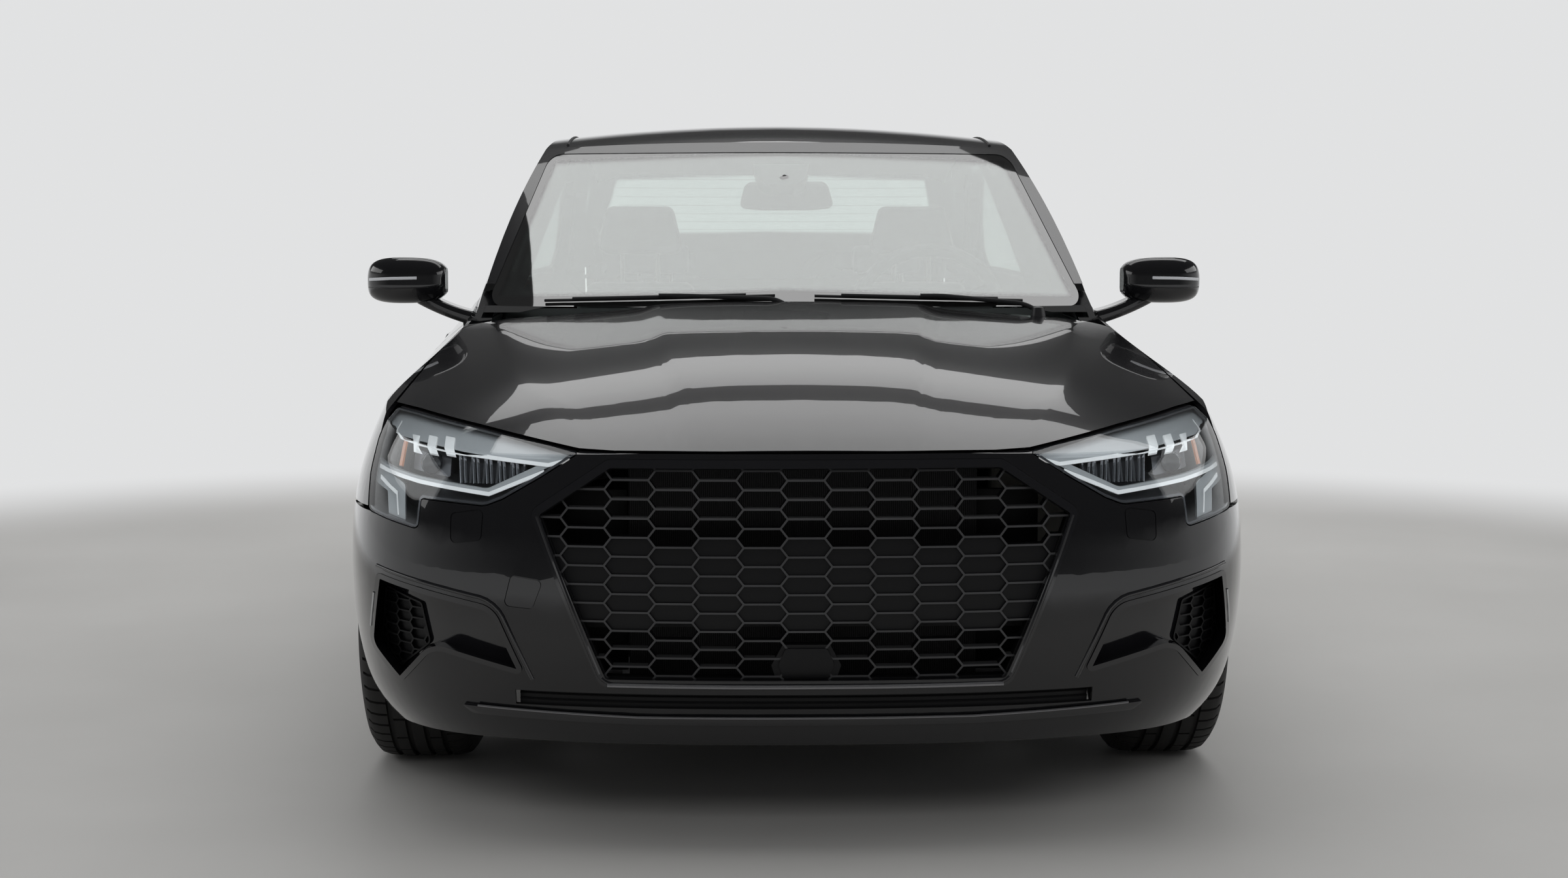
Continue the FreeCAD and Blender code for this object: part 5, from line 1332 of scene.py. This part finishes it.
def swollen(piece, seam, cap=0.02, voxel=0.010):
    """A pad whose cover bulges between the lines where seam(place) is true."""
    with_modifier(piece, "REMESH", mode="VOXEL", voxel_size=voxel)
    scene.frame_set(1)
    start = [vertex.co.copy() for vertex in piece.data.vertices]
    sewn = piece.vertex_groups.new(name="sewn")
    sewn.add([vertex.index for vertex in piece.data.vertices if seam(vertex.co)], 1.0, "REPLACE")
    swell = piece.modifiers.new("swell", "CLOTH")
    swell.settings.use_pressure = True
    swell.settings.uniform_pressure_force = 4.0
    swell.settings.effector_weights.gravity = 0.0
    swell.settings.vertex_group_mass = "sewn"
    for number in range(1, SWELL_FRAMES + 1):
        scene.frame_set(number)
    take(piece)
    bpy.ops.object.modifier_apply(modifier=swell.name)
    for vertex, place in zip(piece.data.vertices, start):
        move = vertex.co - place
        if move.length > cap:
            vertex.co = place + move * (cap / move.length)
    scene.frame_set(1)
    return with_modifier(piece, "SUBSURF", levels=1, render_levels=1)


def narrowed(piece, height, share):
    """Drawn in towards the seat's middle above a height, as a backrest is towards its top."""
    pick(piece, lambda place: place.z > height)
    bpy.ops.transform.resize(value=(share, 1, 1), center_override=(SEAT_MIDDLE, 0, 0))
    deselect()
    return piece


def on_line(value, lines):
    return min(abs(value - line) for line in lines) < SEAM_WIDTH


def from_seat_middle(place):
    return abs(place.x - SEAT_MIDDLE)


def cushion_seam(place):
    aside = from_seat_middle(place)
    return place.z < 0.36 or on_line(aside, [0.163]) or (aside < 0.163 and on_line(place.y, CUSHION_SEAMS))


def back_seam(place):
    aside = from_seat_middle(place)
    flank = 0.158 - 0.05 * max(0.0, place.z - 0.8)
    return on_line(aside, [flank]) or (aside < 0.15 and on_line(place.z, [0.60, 0.71, 0.82]))


def headrest_seam(place):
    return on_line(from_seat_middle(place), [0.085])


def bench_cushion_seam(place):
    aside = abs(place.x)
    across = aside > 0.13 and on_line(place.y, [2.86 - LENGTH / 2])
    return place.z < 0.37 or on_line(aside, [0.13, 0.52]) or across


def bench_back_seam(place):
    aside = abs(place.x)
    return on_line(aside, [0.13, 0.50]) or (0.13 < aside < 0.50 and on_line(place.z, [0.62, 0.75, 0.86]))


def seat_pair(piece, name, finish, stands_for=None):
    """The piece and its mirror image; they may stand for a CAD node, which is then hidden."""
    other = mirrored(piece)
    for made, hand in ((piece, "left"), (other, "right")):
        done(made, f"{name}_{hand}", finish, angle=60)
        if stands_for:
            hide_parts(stands_for)


def posts(across, foot, head, radius):
    return merged(*[tube([at(x, *foot), at(x, *head)], radius) for x in across])


cushion = merged(
    slab(CUSHION, 215, 560), slab(CUSHION_SIDE, 152, 222, 0.03), slab(CUSHION_SIDE, 552, 622, 0.03)
)
cushion = swollen(cushion, cushion_seam)
back = swollen(
    merged(
        narrowed(slab(BACK, 210, 564), height=0.9, share=0.86),
        narrowed(slab(BACK_SIDE, 160, 222, 0.026), height=0.85, share=0.80),
        narrowed(slab(BACK_SIDE, 552, 614, 0.026), height=0.85, share=0.80),
    ),
    back_seam,
)
headrest = narrowed(slab(HEADREST, 268, 506, 0.026), height=1.15, share=0.84)
headrest = swollen(headrest, headrest_seam, cap=0.012, voxel=0.007)
seat_pair(cushion, "seat_cushion", "seat_cloth", stands_for="front_seats")
seat_pair(back, "seat_back", "seat_cloth", stands_for="front_seats")
seat_pair(headrest, "seat_headrest", "seat_cloth", stands_for="front_seats")
seat_pair(posts((0.337, 0.437), (2.500, 0.95), (2.512, 1.09), 0.0065), "headrest_posts", "steel")
seat_pair(slab(SEAT_BASE, 172, 602, 0.018), "seat_base", "dark_plastic")
for number, x in ((19, 190), (54, 540)):
    runner = slab([(1863, 199), (1863, 222), (2333, 222), (2333, 199)], x, x + 40, 0.004)
    seat_pair(runner, f"seat_runner_{number}", "steel")

bench_cushion = swollen(slab(BENCH_CUSHION, -610, 610, 0.03), bench_cushion_seam, voxel=0.014)
bench_back = merged(
    slab(BENCH_BACK, -525, 525),
    slab(BENCH_WING, -618, -515),
    slab(BENCH_WING, 515, 618),
)
bench_back = swollen(bench_back, bench_back_seam, cap=0.018, voxel=0.013)
for piece, name in ((bench_cushion, "bench_cushion"), (bench_back, "bench_back")):
    done(piece, name, "seat_cloth", angle=60)
    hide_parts("rear_bench")
bench_headrest = slab([(3262, 1000), (3280, 1092), (3318, 1090), (3316, 1000)], 262, 478, 0.018)
bench_headrest = swollen(
    bench_headrest, lambda place: on_line(abs(place.x - 0.37), [0.075]), cap=0.010, voxel=0.007
)
seat_pair(bench_headrest, "bench_headrest", "seat_cloth")
bench_posts = posts((-0.42, -0.32, 0.32, 0.42), (3.290, 0.93), (3.298, 1.01), 0.006)
done(bench_posts, "bench_headrest_posts", "steel")

# Cabin: lining, instruments, display, vents, gear lever, armrest, mats and door linings

lining = patch(
    above([(-540, 1760), (540, 1760), (552, 2300), (545, 3250), (-545, 3250), (-552, 2300)], 900),
    every=0.08,
    corner=0.03,
)
done(laid_on(lining, "roof_panel", "z", lift=0.004, thickness=0.004), "roof_lining", "headliner")
binnacle = slab(
    [(1500, 925), (1540, 968), (1612, 962), (1650, 920), (1640, 905), (1520, 905)], 235, 505, 0.012
)
done(binnacle, "instrument_binnacle", "trim_black")
dial_screen = slab([(1645, 912), (1628, 950), (1632, 953), (1651, 915)], 262, 478, 0.001)
done(dial_screen, "instrument_display", "screen_glass")
middle_screen = slab([(1636, 858), (1618, 962), (1626, 964), (1645, 860)], -125, 125, 0.003)
done(middle_screen, "middle_display", "screen_glass")


def vent(name, x0, x1, z0, z1):
    """An air vent with a frame and five blades, its edges given in metres."""
    y = hit("dashboard", ((x0 + x1) / 2, 0, (z0 + z1) / 2), (0, -1, 0)).y
    bars = [
        block((x0, y - 0.01, z0), (x1, y + 0.008, z0 + 0.006)),
        block((x0, y - 0.01, z1 - 0.006), (x1, y + 0.008, z1)),
        block((x0, y - 0.01, z0), (x0 + 0.006, y + 0.008, z1)),
        block((x1 - 0.006, y - 0.01, z0), (x1, y + 0.008, z1)),
    ]
    for i in range(1, 6):
        z = z0 + (z1 - z0) * i / 6
        bars.append(block((x0, y - 0.012, z - 0.0012), (x1, y + 0.003, z + 0.0012)))
    done(rounded(merged(*bars), 0.0008, segments=1), name, "satin_black")


vent("vent_left", 0.575, 0.690, 0.800, 0.860)
vent("vent_middle_left", 0.010, 0.118, 0.790, 0.845)
vent("vent_middle_right", -0.118, -0.010, 0.790, 0.845)
vent("vent_right", -0.690, -0.575, 0.800, 0.860)

gate = slab([(1830, 560), (1830, 566), (2010, 566), (2010, 560)], -60, 60, 0.002)
done(gate, "gear_gate", "gloss_black_trim")
lever = merged(
    tube([at(0, 1.93, 0.56), at(0, 1.915, 0.64)], 0.010),
    turned(
        [(0.0, 0.0), (0.0, 0.016), (0.03, 0.026), (0.055, 0.024), (0.066, 0.012), (0.068, 0.0)],
        at(0, 1.917, 0.63),
        (0, -0.15, 1),
        24,
    ),
)
done(lever, "gear_lever", "trim_black")
armrest = slab([(2090, 562), (2080, 650), (2120, 672), (2300, 672), (2303, 562)], -105, 105, 0.022)
done(armrest, "console_armrest", "trim_black")
for hand, sign in HANDS:
    mat = [(sign * 190, 1620), (sign * 600, 1620), (sign * 610, 1830), (sign * 180, 1830)]
    mat = laid_on(
        patch(above(mat, 900), every=0.06, corner=0.03), "floor_pan", "z", lift=0.004, thickness=0.006
    )
    done(mat, f"front_mat_{hand}", "carpet")


def door_lining(axle, hand, card, armrest, speaker):
    """Lining, armrest, the inlay above it and the speaker, laid on a door from inside."""
    body = f"door_{axle}_{hand}"
    inlay = [(a, b + 95) for a, b in armrest[:2]] + [(a, b + 20) for a, b in armrest[2:]]
    for name, outline, every, corner, lift, thickness, edge, finish in (
        ("card", card, 0.08, 0.04, 0.004, 0.006, 0.001, "trim_black"),
        ("armrest", armrest, 0.08, 0.02, 0.026, 0.044, 0.012, "trim_black"),
        ("inlay", inlay, 0.08, 0.01, 0.009, 0.006, 0.002, "satin_black"),
        ("speaker", ring(speaker, 72, 72, 18), 0.04, 0.0, 0.009, 0.006, 0.002, "speaker_mesh"),
    ):
        piece = laid_on(patch(side(outline, 0), every, corner), body, "x", lift, thickness, edge)
        done(piece, f"door_{name}_{axle}_{hand}", finish, body)


CARD_FRONT = [(1470, 300), (1455, 860), (1700, 900), (2360, 905), (2360, 300)]
ARMREST_FRONT = [(1720, 610), (2290, 640), (2290, 560), (1720, 560)]
CARD_REAR = [(2520, 330), (2520, 905), (3150, 925), (3120, 760), (3010, 560), (2980, 330)]
ARMREST_REAR = [(2600, 630), (2960, 650), (2930, 580), (2600, 570)]
for hand in ("left", "right"):
    door_lining("front", hand, CARD_FRONT, ARMREST_FRONT, (1570, 420))
    door_lining("rear", hand, CARD_REAR, ARMREST_REAR, (2640, 430))

# Under the bonnet: engine cover, battery, air box and duct, coolant bottle, fuse box, hoses, slam panel,
# strut caps and the bonnet's own lining

engine_top = slab(
    [(548, 764), (540, 790), (566, 806), (868, 812), (890, 792), (890, 764)], -262, 262, 0.012
)
ribs = [
    slab([(590, 800), (600, 818), (835, 822), (850, 800)], x - 5, x + 5, 0.002)
    for x in (-190, -130, 130, 190)
]
panel = slab([(620, 800), (630, 820), (800, 824), (812, 800)], -92, 92, 0.006)
done(merged(engine_top, panel, *ribs), "engine_cover", "dark_plastic")
oil_cap = turned(
    [(0.0, 0.0), (0.018, 0.0), (0.018, 0.010), (0.012, 0.012), (0.010, 0.026), (0.0, 0.028)],
    at(0.228, 0.575, 0.803),
    (0, 0, 1),
    12,
)
done(oil_cap, "oil_cap", "satin_black")
battery = merged(
    slab([(640, 482), (640, 660), (880, 660), (880, 482)], 372, 540, 0.006),
    slab([(634, 655), (634, 688), (886, 688), (886, 655)], 368, 544, 0.008),
    slab([(690, 684), (700, 700), (820, 700), (830, 684)], 420, 492, 0.006),
)
done(battery, "battery", "dark_plastic")
POST = [(0.0, 0.0), (0.0, 0.011), (0.016, 0.0095), (0.020, 0.006), (0.020, 0.0)]
battery_posts = [turned(POST, at(x, 0.665, 0.686), (0, 0, 1), 20) for x in (0.395, 0.517)]
done(merged(*battery_posts), "battery_posts", "steel")
air_box = merged(
    slab([(430, 484), (424, 640), (700, 650), (700, 484)], -540, -372, 0.018),
    slab([(420, 636), (430, 700), (520, 726), (690, 722), (706, 646)], -546, -366, 0.014),
    *[
        slab([(480, 700), (490, 732), (670, 734), (680, 700)], x - 4, x + 4, 0.002)
        for x in (-510, -480, -450, -420)
    ],
)
done(air_box, "air_box", "dark_plastic")
DUCT = [at(-0.40, 0.62, 0.70), at(-0.34, 0.66, 0.745), at(-0.30, 0.72, 0.775), at(-0.22, 0.74, 0.785)]
rings = []
for i in range(5):
    ring_foot = at(-0.372, 0.640, 0.720) + i * Vector((0.011, 0.006, 0.007))
    rings.append(tube([ring_foot, ring_foot + Vector((0.003, 0.002, 0.002))], 0.0335, sides=5))
done(merged(tube(DUCT, 0.030, bend=0.03, sides=5), *rings), "intake_duct", "dark_plastic")
bottle = merged(
    slab([(430, 484), (424, 660), (450, 690), (560, 690), (590, 650), (590, 484)], 384, 520, 0.03),
    turned([(0.0, 0.0), (0.0, 0.024), (0.018, 0.024), (0.018, 0.0)], at(0.45, 0.50, 0.686), (0, 0, 1), 24),
)
done(bottle, "coolant_bottle", "pale_bottle")
BOTTLE_CAP = [(0.0, 0.0), (0.0, 0.029), (0.018, 0.029), (0.022, 0.024), (0.022, 0.0)]
bottle_cap = turned(BOTTLE_CAP, at(0.45, 0.50, 0.702), (0, 0, 1), 14)
done(bottle_cap, "coolant_cap", "satin_black")
fuse_box = merged(
    slab([(760, 484), (760, 680), (960, 684), (960, 484)], -540, -384, 0.010),
    slab([(750, 676), (760, 706), (950, 710), (970, 680)], -546, -378, 0.010),
)
done(fuse_box, "fuse_box", "satin_black")
hoses = merged(
    tube(
        [at(0.26, 0.235, 0.655), at(0.27, 0.33, 0.665), at(0.27, 0.45, 0.700), at(0.20, 0.535, 0.725)],
        0.019,
        bend=0.05,
        sides=4,
    ),
    tube([at(0.45, 0.59, 0.56), at(0.40, 0.61, 0.60), at(0.335, 0.64, 0.66)], 0.011, bend=0.03),
    tube([at(-0.24, 0.235, 0.44), at(-0.25, 0.36, 0.45), at(-0.25, 0.51, 0.50)], 0.019, bend=0.05, sides=4),
)
done(hoses, "engine_hoses", "tyre_rubber")
SLAM_RIB = [(186, 718), (190, 728), (256, 733), (260, 722)]
slam = merged(
    slab([(178, 692), (172, 712), (182, 722), (262, 728), (270, 700), (262, 692)], -345, 345, 0.006),
    slab([(196, 716), (200, 736), (236, 740), (244, 722)], -44, 44, 0.004),
    *[slab(SLAM_RIB, x - 6, x + 6, 0.002) for x in (-280, -200, -120, 120, 200, 280)],
)
done(slam, "slam_panel", "dark_plastic")
strut_cap = turned(
    [
        (0.0, 0.060),
        (0.004, 0.060),
        (0.006, 0.052),
        (0.006, 0.034),
        (0.016, 0.030),
        (0.020, 0.020),
        (0.022, 0.0),
    ],
    at(0.600, 0.905, 0.8115),
    (0, 0, 1),
    36,
)
both(strut_cap, "strut_cap", "satin_black")
LINING = [
    (-560, 420), (560, 420), (600, 700), (600, 1000), (480, 1110), (-480, 1110), (-600, 1000), (-600, 700)
]
liner = laid_on(
    patch(above(LINING, 300), every=0.10, corner=0.05), "hood", "z", lift=0.006, thickness=0.008, edge=0.002
)
done(liner, "bonnet_lining", "carpet", "hood")

# Boot: floor panel with its strap, and the lid's lining

BOOT_HALF = [(530, 3330), (530, 3880), (592, 3990), (592, 4335)]
outline = [(-x, station) for x, station in BOOT_HALF[:1]] + BOOT_HALF
outline += [(-x, station) for x, station in reversed(BOOT_HALF[1:])]
boot_floor = rounded(plate(above(outline, 462.5), Vector((0, 0, 0.012))), 0.004, segments=2)
done(boot_floor, "boot_floor", "carpet")
strap = slab([(4220, 473), (4220, 478), (4300, 478), (4300, 473)], -14, 14, 0.0015)
done(strap, "boot_floor_strap", "tyre_rubber")
lid_lining = patch(
    above([(-520, 3985), (520, 3985), (540, 4330), (-540, 4330)], 300), every=0.10, corner=0.05
)
done(
    laid_on(lid_lining, "boot_lid", "z", lift=0.004, thickness=0.006, edge=0.002),
    "boot_lid_lining",
    "carpet",
    "boot_lid",
)

# Pedals

for name, x, half_width in (("brake", 0.33, 0.042), ("throttle", 0.47, 0.026)):
    middle = at(x, 1.545, 0.335)
    low, high = Vector((half_width, 0, 0)), Vector((0, -0.012, 0.06))
    foot = middle - Vector((0, 0, 0.03))
    pad = plate([foot - low, foot + low, foot + low + high, foot - low + high], Vector((0, -0.008, -0.002)))
    stem = [middle + Vector(off) for off in ((0, -0.008, 0), (0, -0.05, 0.14), (0, -0.09, 0.22))]
    done(
        merged(rounded(pad, 0.003, segments=2), tube(stem, 0.006, bend=0.02)),
        f"{name}_pedal",
        "satin_black",
    )
